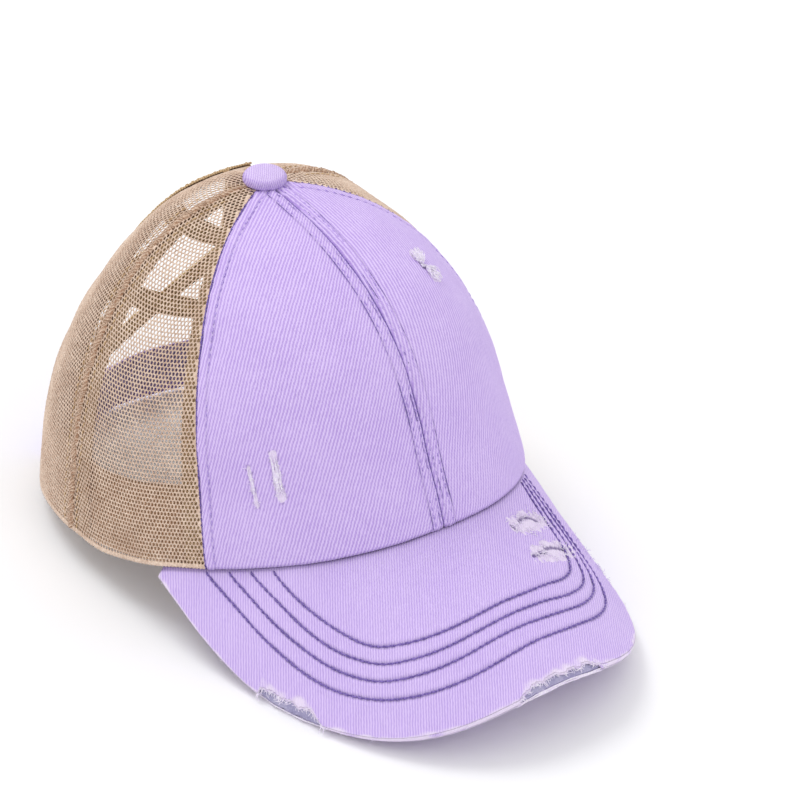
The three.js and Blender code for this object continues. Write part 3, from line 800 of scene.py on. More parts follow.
class PanelMap:
    """Flat coordinates on a panel, in millimetres: s runs across it and v runs up it."""

    def __init__(self, start, end):
        rises = np.linspace(0, PANEL_TOP_RISE, 240)
        reach = np.concatenate([start(rises), end(rises)])
        bearings = np.linspace(reach.min() - 5, reach.max() + 5, 90)
        grid = crown_point(bearings[:, None], rises[None, :])
        steps = np.linalg.norm(np.diff(grid, axis=1), axis=2)
        length = np.concatenate([np.zeros((len(bearings), 1)), np.cumsum(steps, axis=1)], axis=1)
        self.height = float(length[:, -1].mean())
        shares = np.linspace(0, 1, int(self.height) + 1)
        self.rows = shares * self.height
        table = np.stack([np.interp(shares * row[-1], row, rises) for row in length])
        lines = []
        for k in range(len(shares)):
            ends = []
            for seam in (start, end):
                bearing = float(seam(rises[0]))
                for _ in range(8):
                    rise = np.interp(bearing, bearings, table[:, k])
                    bearing = float(seam(rise))
                ends.append(bearing)
            width = (ends[1] - ends[0]) * math.pi / 180 * radius_at(np.mean(ends), np.mean(table[:, k]))
            margin = 2.5 / max(abs(float(width)), 1.0)
            t = np.linspace(-margin, 1 + margin, 160)
            bearing = ends[0] + (ends[1] - ends[0]) * t
            rise = np.interp(bearing, bearings, table[:, k])
            points = crown_point(bearing, rise)
            normals = crown_axes(bearing, rise)[2]
            s = line_lengths(points)
            s -= np.interp(0.5, t, s)
            lines.append((s, points, normals, np.interp(0, t, s), np.interp(1, t, s)))
        self.left = np.array([line[3] for line in lines])
        self.right = np.array([line[4] for line in lines])
        self.low = math.floor(self.left.min()) - 2
        across = np.arange(self.low, math.ceil(self.right.max()) + 3)
        self.points = np.zeros((len(across), len(lines), 3))
        self.normals = np.zeros((len(across), len(lines), 3))
        for k, (s, points, normals, _, _) in enumerate(lines):
            for axis in range(3):
                self.points[:, k, axis] = np.interp(across, s, points[:, axis])
                self.normals[:, k, axis] = np.interp(across, s, normals[:, axis])

    def limits(self, v):
        return np.interp(v, self.rows, self.left), np.interp(v, self.rows, self.right)

    def place(self, s, v, lift):
        """Points at s and v, kept inside the panel's edges and lifted off its face."""
        v = np.clip(v, 0, self.height)
        low, high = self.limits(v)
        s = np.clip(s, low, high)
        i = np.clip(s - self.low, 0, self.points.shape[0] - 1.001)
        j = np.clip(v / self.height * (len(self.rows) - 1), 0, len(self.rows) - 1.001)
        i0, j0 = i.astype(int), j.astype(int)
        fi, fj = (i - i0)[..., None], (j - j0)[..., None]

        def between(grid):
            low_row = grid[i0, j0] * (1 - fi) + grid[i0 + 1, j0] * fi
            high_row = grid[i0, j0 + 1] * (1 - fi) + grid[i0 + 1, j0 + 1] * fi
            return low_row * (1 - fj) + high_row * fj

        return between(self.points) + between(self.normals) * np.asarray(lift)[..., None]


def net_panel(name, panel, side, seed):
    """A knitted panel with its staggered holes, as one closed body of yarn."""
    random = np.random.default_rng(seed)
    rows = np.arange(int(panel.height / NET_ROW) - 1)
    widest = int(max(-panel.left.min(), panel.right.max()) / NET_PITCH) + 2
    columns = np.arange(-widest, widest + 1)
    row_index, column = np.meshgrid(rows, columns, indexing="ij")
    s = (column + 0.5 * (row_index % 2)) * NET_PITCH
    v = (row_index + NET_FIRST_ROW) * NET_ROW
    low, high = panel.limits(v)
    kept = (s > low - NET_OVERHANG) & (s < high + NET_OVERHANG)
    centre = np.stack([s[kept], v[kept]], axis=1)
    edge_distance = np.minimum(s - low, high - s)[kept]
    solid = (edge_distance < NET_SOLID_EDGE) | (centre[:, 1] < NET_SOLID_FOOT)

    corners = centre[:, None] + NET_CORNERS[None]
    keys = np.round(corners.reshape(-1, 2) * 50).astype(int)
    keys = np.round(keys / 6).astype(int)
    _, first, corner_id = np.unique(keys, axis=0, return_index=True, return_inverse=True)
    corner_id = corner_id.reshape(-1, 6)
    outer = corners.reshape(-1, 2)[first]
    outer = outer + random.uniform(-0.06, 0.06, outer.shape)
    count = len(outer)
    holes = centre[~solid][:, None] + NET_HOLE[None] * random.uniform(0.86, 1.1, (np.sum(~solid), 1, 1))
    holes = holes + random.uniform(-0.05, 0.05, holes.shape)
    hole_points = holes.reshape(-1, 2)
    middles = centre[solid]

    def lifted(flat, lift):
        drift = 0.3 * np.sin(flat[:, 1] / 17.0 + seed) + 0.2 * np.sin(flat[:, 0] / 13.0)
        swell = 0.35 * wobble(flat[:, 0], flat[:, 1], 34.0, seed)
        return panel.place(flat[:, 0] + drift, flat[:, 1], NET_LIFT + swell + lift)

    ridge = NET_HALF_DEPTH * random.uniform(0.75, 1.2, count)
    points = np.concatenate([lifted(outer, ridge), lifted(outer, -ridge), lifted(hole_points, 0.0),
                             lifted(middles, NET_SOLID_HALF_DEPTH), lifted(middles, -NET_SOLID_HALF_DEPTH)])
    flat = np.concatenate([outer, outer, hole_points, middles, middles])
    faces = []
    hole_id = 2 * count + np.arange(len(hole_points)).reshape(-1, 6)
    middle_id = 2 * count + len(hole_points) + np.arange(len(middles))
    with_hole = corner_id[~solid]
    filled = corner_id[solid]
    for m in range(6):
        n = (m + 1) % 6
        a, b = with_hole[:, m], with_hole[:, n]
        c, d = hole_id[:, n], hole_id[:, m]
        e, f = filled[:, m], filled[:, n]
        for corners in ((a, b, c), (a, c, d), (b + count, a + count, c), (a + count, d, c),
                        (e, f, middle_id), (f + count, e + count, middle_id + len(middles))):
            faces.append(np.stack(corners, axis=1))
    edges = np.concatenate([np.stack([corner_id[:, m], corner_id[:, (m + 1) % 6]], 1) for m in range(6)])
    _, index, times = np.unique(np.sort(edges, axis=1), axis=0, return_index=True, return_counts=True)
    border = edges[index[times == 1]]
    walls = np.stack([border[:, 1], border[:, 0], border[:, 0] + count, border[:, 1] + count], axis=1)
    if side < 0:
        points = points * np.array([-1, 1, 1])
        faces = [f[:, ::-1] for f in faces]
        walls = walls[:, ::-1]
    cloth = np.concatenate([flat, np.zeros((len(flat), 1))], axis=1)
    new_piece(f"{name}_net", points, [np.concatenate(faces), walls], knitted,
              replaces=[name], attributes={"cloth": cloth})


def front_edge(rise):
    return seam_bearing(FRONT_SEAM, rise)


def back_edge(rise):
    return seam_bearing(BACK_SEAM, rise)


side_map = PanelMap(front_edge, back_edge)
back_map = PanelMap(back_edge, opening_edge)
for side_name, side in SIDES:
    net_panel(f"side_panel_{side_name}", side_map, side, 11 + side)
    net_panel(f"back_panel_{side_name}", back_map, side, 21 + side)


# Crown: twill panels

SEAM_BAND = 5.0
SEAM_BAND_LIFT = 0.45
SEAM_ROWS = (1.3, 3.9)
# Dark purple lines in the middle seam's grooves, painted shade built as thread: distance from the middle,
# lift and radius.
SEAM_SHADE_LINES = ((0.1, -0.42, 0.24), (4.95, 0.2, 0.21), (1.75, 0.24, 0.14))
SIDE_SEAM_ROW = 4.5
SLASHES = [
    {"line": [(-39.2, 21.2), (-38.5, 18.5), (-37.8, 15.8), (-37.0, 13.0)], "half": 0.55, "threads": 7},
    {"line": [(-33.8, 24.0), (-33.0, 20.2), (-32.5, 16.8), (-31.8, 14.4)], "half": 1.3, "threads": 20},
]
TUFTS = [
    {"middle": (30.3, 57.2), "reach": 3.3},
    {"middle": (29.4, 51.6), "reach": 3.6},
]
TUFT_WAIST = {"middle": (28.6, 54.6), "reach": 1.9}
TUFT_THREADS = 85
TUFT_BRIDGES = 6

front_map = PanelMap(lambda rise: np.zeros_like(np.asarray(rise, float)), front_edge)


def line_distance(points, corners):
    """Distance of each point from the nearest place on a bent line."""
    nearest = np.full(points.shape[:-1], 99.0)
    for start, end in zip(corners[:-1], corners[1:]):
        along = end - start
        t = np.clip(((points - start) @ along) / (along @ along), 0, 1)
        nearest = np.minimum(nearest, np.linalg.norm(points - start - t[..., None] * along, axis=-1))
    return nearest


def front_panel(side_name, side):
    """A twill panel with its seam band, stitch grooves, ripples, wear and painted shade, and its loose
    threads.
    """
    rows, columns, inner_columns = 224, 136, 14
    mirror = np.array([side, 1, 1])
    u = np.linspace(0, 1, columns)
    t = 0.45 * u + 0.55 * (0.5 - 0.5 * np.cos(math.pi * u))
    v = spread(np.linspace(0, front_map.height, rows), columns)
    low, high = front_map.limits(v)
    s = low + (high - low) * t[None, :]
    from_middle = s - low
    from_side = high - s
    base = front_map.place(s, v, np.zeros_like(s)) * mirror

    lift = SEAM_BAND_LIFT * (1 - smoothstep(from_middle, SEAM_BAND - 0.5, SEAM_BAND + 0.7))
    lift -= 0.95 * bump(from_middle, 0.9)
    pucker = 0.65 + 0.35 * np.cos(2 * math.pi * v / 3.0 + 0.8 * wobble(s, v, 20.0, 5))
    for row in SEAM_ROWS:
        lift -= 0.22 * pucker * bump(from_middle - row, 0.95)
    lift += 0.1 * pucker * bump(from_middle - 2.75, 1.2)
    lift -= 0.3 * pucker * bump(from_side - SIDE_SEAM_ROW, 1.2)
    lift += 0.28 * (1 - smoothstep(from_side, SIDE_SEAM_ROW - 0.3, SIDE_SEAM_ROW + 1.6))
    lift += 0.1 * wobble(0 * s, v, 5.0, 9) * (1 - smoothstep(from_side, 2.0, 5.0))
    lift -= 0.7 * (1 - smoothstep(from_side, 0.0, 1.3))
    lift -= 0.5 * (1 - smoothstep(v, 0.0, 1.8))
    lift += 0.25 * wobble(s, v, 30.0, 3 + side) + 0.07 * wobble(s, v, 8.0, 13 + side)
    lift += 0.3 * np.sin(2 * math.pi * s / 3.4) * smoothstep(v, front_map.height - 14, front_map.height - 4)

    worn = 0.3 * bump(from_middle - 3.2, 1.4) * (0.5 + 0.5 * wobble(s, v, 5.0, 32))
    worn += 0.45 * bump(from_side - 0.5, 1.1) * (0.6 + 0.4 * wobble(s, v, 3.5, 33))
    worn += 0.25 * bump(v - 2.4, 1.2)
    # Painted shade: darker in the middle seam's groove, along the seam band's edge, beside a stitch row,
    # along the rim line and in the side seam row's groove.
    gap = 0.3 * bump(from_middle, 0.6)
    gap += 0.22 * bump(from_middle - SEAM_BAND, 0.8) + 0.12 * bump(from_middle - 1.6, 0.8)
    gap += 0.35 * (1 - smoothstep(v, 0.3, 1.3))
    gap += 0.16 * bump(from_side - SIDE_SEAM_ROW, 1.0)
    threads = []
    random = np.random.default_rng(71)
    if side < 0:
        for slash in SLASHES:
            places = crown_point(*np.array(slash["line"]).T)
            ragged = line_distance(base, places) - slash["half"] + 0.25 * wobble(s, v, 2.2, 41)
            lift -= 0.4 * (1 - smoothstep(ragged, -0.4, 0.3))
            lift += 0.18 * bump(ragged - 0.7, 0.8)
            # Painted shade along the slash's ragged edge, in patches.
            gap += 0.4 * bump(ragged - 0.35, 0.5) * (wobble(s, v, 1.6, 42) > 0)
            worn += 1.0 * (1 - smoothstep(ragged, -0.1, 0.5))
            threads += slash_threads(places, slash, random)
    else:
        for tuft in TUFTS:
            away = np.linalg.norm(base - crown_point(*tuft["middle"]), axis=-1) / tuft["reach"] / 1.1
            away += 0.15 * wobble(s, v, 2.0, 51)
            worn += 1.0 * (1 - smoothstep(away, 0.7, 1.0))
            threads += tuft_threads(tuft, random)
        waist = np.linalg.norm(base - crown_point(*TUFT_WAIST["middle"]), axis=-1) / TUFT_WAIST["reach"]
        # Painted shade in the sunken waist between the tufts.
        gap += 0.7 * (1 - smoothstep(waist, 0.5, 1.0))
        lift -= 0.4 * (1 - smoothstep(waist, 0.5, 1.0))

    inner_v = spread(v[:, 0], inner_columns)
    low, high = front_map.limits(inner_v)
    inner_s = low + (high - low) * np.linspace(0, 1, inner_columns)
    outer = front_map.place(s, v, lift) * mirror
    inner = front_map.place(inner_s, inner_v, np.full(inner_v.shape, -CLOTH)) * mirror
    points, faces = two_sided(outer, inner)
    plain = np.zeros(inner_v.size)
    cloth = [flat_points(side * s, v), flat_points(side * inner_s, inner_v)]
    name = f"front_panel_{side_name}"
    new_piece(f"{name}_twill", points, faces, panel_twill, replaces=[name], attributes={
        "cloth": np.concatenate([part.reshape(-1, 3) for part in cloth]),
        "worn": np.concatenate([np.clip(worn, 0, 1).reshape(-1), plain]),
        "gap": np.concatenate([np.clip(gap, 0, 1).reshape(-1), plain]),
        "inside": np.concatenate([np.zeros(s.size), plain + 1]),
    })
    thread_piece(f"{name}_fray", threads, pale_thread)


def loose_thread(start, direction, normal, length, random, radius=0.13, curl=0.6):
    """A short thread that leaves the cloth and falls back with a curl."""
    side = np.cross(direction, normal)
    t = np.linspace(0, 1, 6)
    bend = random.uniform(-1, 1) * curl
    rise = random.uniform(0.15, 0.5)
    path = (start + direction * (length * t)[:, None]
            + side * (bend * length * t ** 2)[:, None]
            + normal * ((rise * np.sin(t * math.pi * 0.9) + 0.12) * min(length, 2.5) * 0.5)[:, None])
    return thread_body(path, radius * random.uniform(0.7, 1.2), sides=4, tips=0.4)


def slash_threads(places, slash, random):
    """Pale threads that lie along a slash, with a few short ends beside it."""
    bodies = []
    outwards = unit(places.mean(axis=0) - np.array([0, CROWN_AXIS_Y, 40.0]))
    steps = line_lengths(places)
    length = steps[-1]
    along = (places[-1] - places[0]) / length
    side = unit(np.cross(outwards, along))
    half = slash["half"]

    def on_line(share):
        return point_along(share * length, steps, places)

    for _ in range(slash["threads"]):
        start = random.uniform(-0.04, 0.35)
        t = np.linspace(start, min(start + random.uniform(0.4, 0.75), 1.06), 9)
        drift = random.uniform(-half, half) * 0.95 + 0.18 * np.sin(9 * t + random.uniform(0, 6))
        path = on_line(t) + side * drift[:, None] + outwards * (0.12 + 0.22 * random.uniform(0, 1))
        bodies.append(thread_body(path, 0.17, sides=5, tips=0.4))
    for _ in range(int(slash["threads"] * 1.6)):
        share = random.uniform(0, 1) ** 0.6
        sign = random.choice([-1, 1])
        direction = unit(sign * side * random.uniform(0.2, 0.9) + along * random.choice([-0.4, 1.0]))
        start = on_line(share) + side * sign * half * 0.8 + outwards * 0.15
        size = random.uniform(0.8, 2.0)
        bodies.append(loose_thread(start, direction, outwards, size, random, radius=0.11))
    return bodies


def tuft_threads(tuft, random):
    """A tuft of threads that fans out from the worn waist and curls off the cloth."""
    middle = crown_point(*tuft["middle"])
    waist = crown_point(*TUFT_WAIST["middle"])
    across, _, normal = crown_axes(*tuft["middle"])
    across = unit(across)
    up = np.cross(normal, across)
    bodies = []
    t = np.linspace(0, 1, 8)
    for _ in range(TUFT_THREADS):
        turn = random.uniform(0, 2 * math.pi)
        out = tuft["reach"] * random.uniform(0, 1) ** 0.5
        end = middle + (across * 1.25 * math.cos(turn) + up * math.sin(turn)) * out
        start = end + (waist - end) * random.uniform(0.3, 0.75)
        bend = np.cross(end - start, normal) * random.uniform(-0.35, 0.35)
        height = 0.25 + random.uniform(0.2, 1.1) * np.sin(t * 2.4)
        path = (start + (end - start) * t[:, None] + bend * np.sin(t * math.pi)[:, None]
                + normal * height[:, None])
        bodies.append(thread_body(path, random.uniform(0.15, 0.22), sides=5, tips=0.35))
    reach = (across * 0.5 + up * 0.6) * 2.0
    height = 0.2 + 0.25 * np.sin(t * math.pi)
    for share in (np.arange(TUFT_BRIDGES) - (TUFT_BRIDGES - 1) / 2) / 5:
        offset = (across * 0.75 - up * 0.65) * 3.2 * share
        path = waist + offset + reach * (t[:, None] - 0.5) + normal * height[:, None]
        bodies.append(thread_body(path, 0.17, sides=5, tips=0.4))
    return bodies


for side_name, side in SIDES:
    front_panel(side_name, side)


# Brim. Its place runs round it, from -1 at the wearer's right to 1 at the left, and its share
# runs out, from 0 at the crown to 1 at the edge.

brim_end = crown_point(BRIM_ATTACH_BEARING, 0.0) - np.array([0, SHIFT_Y, 0])
brim_tip_reach = CROWN_FRONT_REACH + BRIM_LENGTH
BRIM_TEAR_FLAT = 0.7
BRIM_WRAP = 1.04  # cloth across the brim for each millimetre straight across it
BRIM_WALK = 120  # millimetres or so for each unit of place, for uneven edges
BRIM_ROW_SLOPE = 2.4  # 2, as the places span 2 units, times 1.2, as the rows are shorter than the edge
BRIM_FINE_PLACES = (0.08, 0.44)  # where the slits are, on a finer grid
BRIM_HEM_GAP = 0.12
BRIM_EDGE_ROLL = 0.9
BRIM_BOARD_LEVELS = (2.8, 2.05, 1.25)  # top, cut edge and underside
BRIM_BOARD_INSET = 0.9
BRIM_STITCH = {"pitch": 2.7, "share": 0.93, "radius": 0.4}
BRIM_WORN_OFF = 0.6  # wear from which the stitches are gone
TEAR_THREADS = 110
TEAR_RIM_THREADS = 5
PATCH_THREADS = 120
EDGE_THREADS = 170
FUZZ_THREADS = 70
BRIM_PATCHES = [
    {"middle": (36.5, -69.0), "reach": (12.4, 4.5), "turn": 17.0},
    {"middle": (38.3, -81.4), "reach": (13.6, 4.5), "turn": 17.0},
]
BRIM_SLITS = [
    [(32.6, -68.6), (35.6, -67.0), (38.7, -66.4), (41.6, -67.7)],
    [(27.1, -70.6), (27.8, -72.0)],
    [(26.3, -84.6), (29.3, -84.0)],
    [(30.8, -83.1), (34.3, -82.7)],
    [(35.0, -81.1), (39.9, -79.6), (44.0, -79.3), (47.4, -78.6)],
]


def outline_points(turn):
    across = np.sin(turn)
    share = 2 / BRIM_SQUARENESS
    depth = brim_tip_reach + brim_end[1]
    x = BRIM_HALF_WIDTH * np.sign(across) * np.abs(across) ** share
    y = brim_end[1] - depth * np.abs(np.cos(turn)) ** share
    corner = 1 - (BRIM_CORNER_ACROSS / BRIM_HALF_WIDTH) ** BRIM_SQUARENESS
    corner_y = brim_end[1] - depth * corner ** (1 / BRIM_SQUARENESS)
    tip_share = np.maximum(1 - (x / BRIM_CORNER_ACROSS) ** 2, 0) ** 2
    side_share = np.maximum((y - corner_y) / (brim_end[1] - corner_y), 0) ** BRIM_SIDE_RISE
    z = BRIM_TIP_HEIGHT * tip_share + (brim_end[2] - BRIM_THICKNESS) * side_share
    return np.stack([x, y + SHIFT_Y, z], axis=-1)


outline_dense = outline_points(np.linspace(-math.pi / 2, math.pi / 2, 4001))
outline_length = line_lengths(outline_dense)


def outline_at(place):
    return point_along((place + 1) / 2 * outline_length[-1], outline_length, outline_dense)


def seat_top(place):
    place = np.asarray(place, float)
    inset = np.full(place.shape, -BRIM_SEAT_INSET)
    seat = layer_point(place * BRIM_ATTACH_BEARING, np.zeros_like(place), inset)
    seat[..., 2] -= BRIM_SEAT_GAP
    return seat


def brim_facing(place):
    step = 0.02
    low = np.maximum(place - step, -1)
    high = np.minimum(place + step, 1)
    along = (seat_top(high) + outline_at(high) - seat_top(low) - outline_at(low)) / 2
    normal = np.cross(outline_at(place) - seat_top(place), along)
    return normal / np.linalg.norm(normal, axis=-1, keepdims=True)


def brim_point(place, share, height):
    """A point on the brim, at a share of the way out and a height in its stack."""
    place, share, height = np.broadcast_arrays(place, share, height)
    facing = brim_facing(place)
    inner = seat_top(place) + facing * (height - BRIM_THICKNESS)[..., None]
    outer = outline_at(place) + facing * height[..., None]
    point = inner * (1 - share)[..., None] + outer * share[..., None]
    point[..., 2] += BRIM_BULGE * 4 * share * (1 - share) * (1 - place * place)
    return point


def brim_span(place):
    return np.linalg.norm(seat_top(place) - outline_at(place), axis=-1)


def edge_wobble(place, size, seed):
    """Smooth noise round the brim's edge, from -1 to 1."""
    return wobble(place * BRIM_WALK, 0 * place, size, seed)


def brim_outwards(place):
    return unit(outline_at(place) - seat_top(place))


def tear_depth(place):
    depth = np.zeros_like(place)
    for tear in BRIM_TEARS:
        offset = np.abs(place - tear["place"]) / tear["span"]
        worn = tear["depth"] * BRIM_LENGTH * (1 - smoothstep(offset, BRIM_TEAR_FLAT, 1))
        depth = np.maximum(depth, worn)
    return depth


def row_inset(row, place):
    """How far inside the edge a stitch row runs, eased round its corners."""
    knots = np.array(row)
    nudges = np.linspace(-0.03, 0.03, 9)
    return sum(np.interp(place + nudge, knots[:, 0], knots[:, 1]) for nudge in nudges) / len(nudges)


def row_slant(row, place):
    """How much wider a band across that row is when it is measured along the place lines."""
    step = 0.01
    change = (row_inset(row, place + step) - row_inset(row, place - step)) / (2 * step)
    return np.hypot(1, change / outline_length[-1] * BRIM_ROW_SLOPE)


def slit_distance(points):
    distances = [line_distance(points[..., :2], np.array(slit)) for slit in BRIM_SLITS]
    return np.min(distances, axis=0)


def brim_wear(points, u, v, from_edge):
    """Whitened cloth on the brim, from 0 to 1: the worn places and the edge."""
    worn = np.zeros(points.shape[:-1])
    for patch in BRIM_PATCHES:
        turn = math.radians(patch["turn"])
        x = points[..., 0] - patch["middle"][0]
        y = points[..., 1] - patch["middle"][1]
        along = x * math.cos(turn) + y * math.sin(turn)
        over = -x * math.sin(turn) + y * math.cos(turn)
        away = np.hypot(along / patch["reach"][0], over / patch["reach"][1])
        away += 0.22 * wobble(u, v, 5.0, 61) + 0.12 * wobble(u, v, 1.8, 62)
        worn = np.maximum(worn, 1 - smoothstep(away, 0.8, 1.12))
    reach = 3.4 + 1.5 * wobble(u, v, 16.0, 74)
    edge = (1 - smoothstep(from_edge, 0.1, reach)) * (0.75 + 0.3 * wobble(u, v, 6.0, 63))
    return np.maximum(worn, edge)


def brim_cover(name, upper):
    """A cover as one closed skin: its face, the edge rolled over, and the back of the cloth."""
    place_count, step_count = (330, 102) if upper else (200, 44)
    places = np.linspace(-1, 1, place_count)
    near = [tear["place"] + tear["span"] * np.linspace(-1.1, 1.1, 36) for tear in BRIM_TEARS]
    if upper:
        near.append(np.linspace(*BRIM_FINE_PLACES, 110))
    places = np.unique(np.concatenate([places] + near))
    span = brim_span(places)
    torn = tear_depth(places) if upper else np.zeros_like(places)
    ragged = 0.7 * edge_wobble(places, 4.0, 65) + 0.4 * edge_wobble(places, 1.2, 66)
    ragged = np.where(torn > 0.3, ragged, 0)
    edge_inset = torn + ragged * np.minimum(torn / 2, 1)
    top_share = np.linspace(0, 1, step_count)
    top_share = 1 - (1 - top_share) ** 1.12
    face, low = (BRIM_THICKNESS, BRIM_THICKNESS - BRIM_COVER) if upper else (0.0, BRIM_COVER)
    sign = 1 if upper else -1
    middle = BRIM_THICKNESS / 2 + sign * BRIM_HEM_GAP

    reach = 1 - (edge_inset + BRIM_EDGE_ROLL) / span
    share = reach[:, None] * top_share[None, :]
    place = spread(places, len(top_share))
    from_edge = (1 - share) * span[:, None]
    flat = brim_point(place, share, np.full(share.shape, face))
    u = flat[..., 0] * BRIM_WRAP
    v = -flat[..., 1]
    height = np.full(share.shape, face)
    inside = smoothstep(share * span[:, None], 0.5, 3.0)
    # Painted shade: darker in the groove of each stitch row.
    gap = np.zeros(share.shape)
    for k, row in enumerate(BRIM_ROWS):
        from_row = (from_edge - row_inset(row, place)) / row_slant(row, place)
        pucker = 0.75 + 0.25 * np.cos(2 * math.pi * place * span.max() / 3.0 + k)
        height -= sign * 0.4 * pucker * bump(from_row, 1.4) * inside
        height += sign * 0.12 * bump(np.abs(from_row) - 2.2, 1.2) * inside
        gap += 0.34 * bump(from_row, 1.5) * inside
    height += sign * (0.16 * wobble(u, v, 26.0, 67) + 0.06 * wobble(u, v, 7.0, 68))
    from_hem = (from_edge - torn[:, None]) / (1 + 0.3 * torn[:, None])
    worn = brim_wear(flat, u, v, from_hem) if upper else 0.6 * brim_wear(flat, u, v, from_edge)
    frayed = smoothstep(worn, 0.4, 0.9) * (from_edge > 4)
    height += sign * frayed * (-0.22 + 0.16 * wobble(u, v, 1.7, 69))
    gap *= 1 - frayed
    if upper:
        # Painted shade in the sunken slits of the worn places.
        slits = 1 - smoothstep(slit_distance(flat) + 0.25 * wobble(u, v, 1.4, 72), 0.35, 0.95)
        gap = np.maximum(gap, 0.8 * slits)
        height -= 0.4 * slits
    # Painted shade in the join at the seat, where the brim meets the crown.
    gap = np.maximum(gap, 0.5 * (1 - smoothstep(share * span[:, None], 0.8, 2.0)))
    sections = [brim_point(place, share, height)]
    worn_parts, shade_parts, cloth_parts = [worn], [gap], [flat_points(u, v)]

    turns = np.linspace(0, 1, 8)[1:]
    hem = np.where(torn > 0.3, 1.0, 0.0)
    roll = np.minimum(torn, 1)
    tip = middle * (1 - roll) + (face - sign * 0.45) * roll
    out_share = 1 - edge_inset / span
    angle = turns[None, :] * math.pi / 2
    roll_share = reach[:, None] + (out_share - reach)[:, None] * np.sin(angle)
    roll_height = tip[:, None] + (height[:, -1] - tip)[:, None] * np.cos(angle)
    roll_place = spread(places, len(turns))
    rolled = brim_point(roll_place, roll_share, roll_height)
    sections.append(rolled)
    edge_wear = np.clip(0.8 + 0.3 * wobble(roll_place * BRIM_WALK, roll_height, 6.0, 64), 0, 1)
    worn_parts.append(edge_wear)
    # Painted shade on the rolled hem at the tears.
    shade_parts.append(0 * edge_wear + 0.25 * hem[:, None] * turns[None, :])
    cloth_parts.append(flat_points(rolled[..., 0] * BRIM_WRAP, -rolled[..., 1] - roll_height))

    back_share = np.linspace(1, 0, 10)[None, :] * (reach - 0.2 / span)[:, None]
    back_place = spread(places, 10)
    sections.append(brim_point(back_place, back_share, np.full(back_share.shape, low)))
    for parts in (worn_parts, shade_parts):
        parts.append(np.zeros(back_share.shape))
    cloth_parts.append(flat_points(back_share * 60, back_place * 90))

    points, faces = ring_body(np.concatenate(sections, axis=1))
    new_piece(f"{name}_twill", points, faces, brim_twill, replaces=[name], attributes={
        "cloth": np.concatenate(cloth_parts, axis=1).reshape(-1, 3),
        "worn": np.clip(np.concatenate(worn_parts, axis=1), 0, 1).reshape(-1),
        "gap": np.clip(np.concatenate(shade_parts, axis=1), 0, 1).reshape(-1),
    })
    return places, edge_inset


def brim_board():
    """The stiffener between the covers, seen at the tears, with an uneven cut edge."""
    places = np.linspace(-0.95, 0.95, 260)
    span = brim_span(places)
    columns = 10
    inset = BRIM_BOARD_INSET + 0.2 * edge_wobble(places, 3.0, 81)
    share = (1 - inset / span)[:, None] * np.linspace(0, 1, columns)
    place = spread(places, columns)
    top_level, edge_level, low_level = BRIM_BOARD_LEVELS
    top = brim_point(place, share, top_level)
    low = brim_point(place, share, low_level)
    edge = brim_point(places[:, None], (1 - (inset - 0.35) / span)[:, None], edge_level)
    points, faces = ring_body(np.concatenate([top, edge, low[:, ::-1]], axis=1))
    new_piece("brim_board_core", points, faces, board_stuff, replaces=["brim_board"])


def brim_stitches(upper):
    """The stitch rows, left out where the cloth is worn, and a core under the upper ones."""
    bodies = []
    height = BRIM_THICKNESS if upper else 0.0
    sign = 1 if upper else -1
    places = np.linspace(-0.95, 0.95, 900)
    span = brim_span(places)
    for k, row in enumerate(BRIM_ROWS):
        share = 1 - row_inset(row, places) / span
        keep = share > 0.02
        path = brim_point(places[keep], share[keep], height - sign * 0.2)
        normals = brim_facing(places[keep]) * sign
        worn = np.zeros(len(path))
        if upper:
            worn = brim_wear(path, path[:, 0] * BRIM_WRAP, -path[:, 1], np.full(len(path), 12.0))

        def skip(at, worn=worn):
            return worn[min(int(at * len(worn)), len(worn) - 1)] > BRIM_WORN_OFF

        bodies += stitch_row(path, normals, seed=90 + k, skip=skip, sides=6 if upper else 4, **BRIM_STITCH)
        if upper:
            start = 0
            changes = np.flatnonzero(np.diff((worn > BRIM_WORN_OFF).astype(int))) + 1
            for end in np.append(changes, len(path)):
                if worn[start] <= BRIM_WORN_OFF and end - start > 12:
                    core = path[start:end:3] + normals[start:end:3] * 0.1
                    bodies.append(thread_body(core, 0.3, sides=4))
                start = end
    thread_piece(f"brim_stitches_{'upper' if upper else 'lower'}", bodies, purple_thread)


def tear_fray(tear, places, edge_inset, random):
    """Loose threads that stand out of a tear."""
    bodies = []
    for _ in range(TEAR_THREADS):
        place = np.array(tear["place"] + tear["span"] * random.uniform(-1.02, 1.02))
        inset = np.interp(place, places, edge_inset)
        start = brim_point(place, 1 - (inset + 0.4) / brim_span(place), BRIM_THICKNESS - 0.15)
        facing = brim_facing(place)
        outwards = brim_outwards(place)
        direction = unit(outwards + np.cross(facing, outwards) * random.uniform(-1.1, 1.1))
        bodies.append(loose_thread(start, direction, facing, random.uniform(0.6, 2.2), random, curl=1.3))
    return bodies


def patch_fray(patch, random):
    """Short threads that lie over a worn place."""
    bodies = []
    angle = math.radians(patch["turn"])
    for _ in range(PATCH_THREADS):
        turn = random.uniform(0, 2 * math.pi)
        size = random.uniform(0.4, 1.05)
        x = patch["reach"][0] * size * math.cos(turn)
        y = patch["reach"][1] * size * math.sin(turn)
        target = np.array([patch["middle"][0] + x * math.cos(angle) - y * math.sin(angle),
                           patch["middle"][1] + x * math.sin(angle) + y * math.cos(angle)])
        place, share = brim_place_of(target)
        start = brim_point(place, share, BRIM_THICKNESS - 0.1)
        facing = brim_facing(place)
        direction = np.array([math.cos(angle), math.sin(angle), 0]) * random.choice([-1, 1])
        direction = direction + random.uniform(-0.5, 0.5, 3)
        direction = unit(direction - facing * (direction @ facing))
        bodies.append(loose_thread(start, direction, facing, random.uniform(1.0, 3.2), random, radius=0.12))
    return bodies


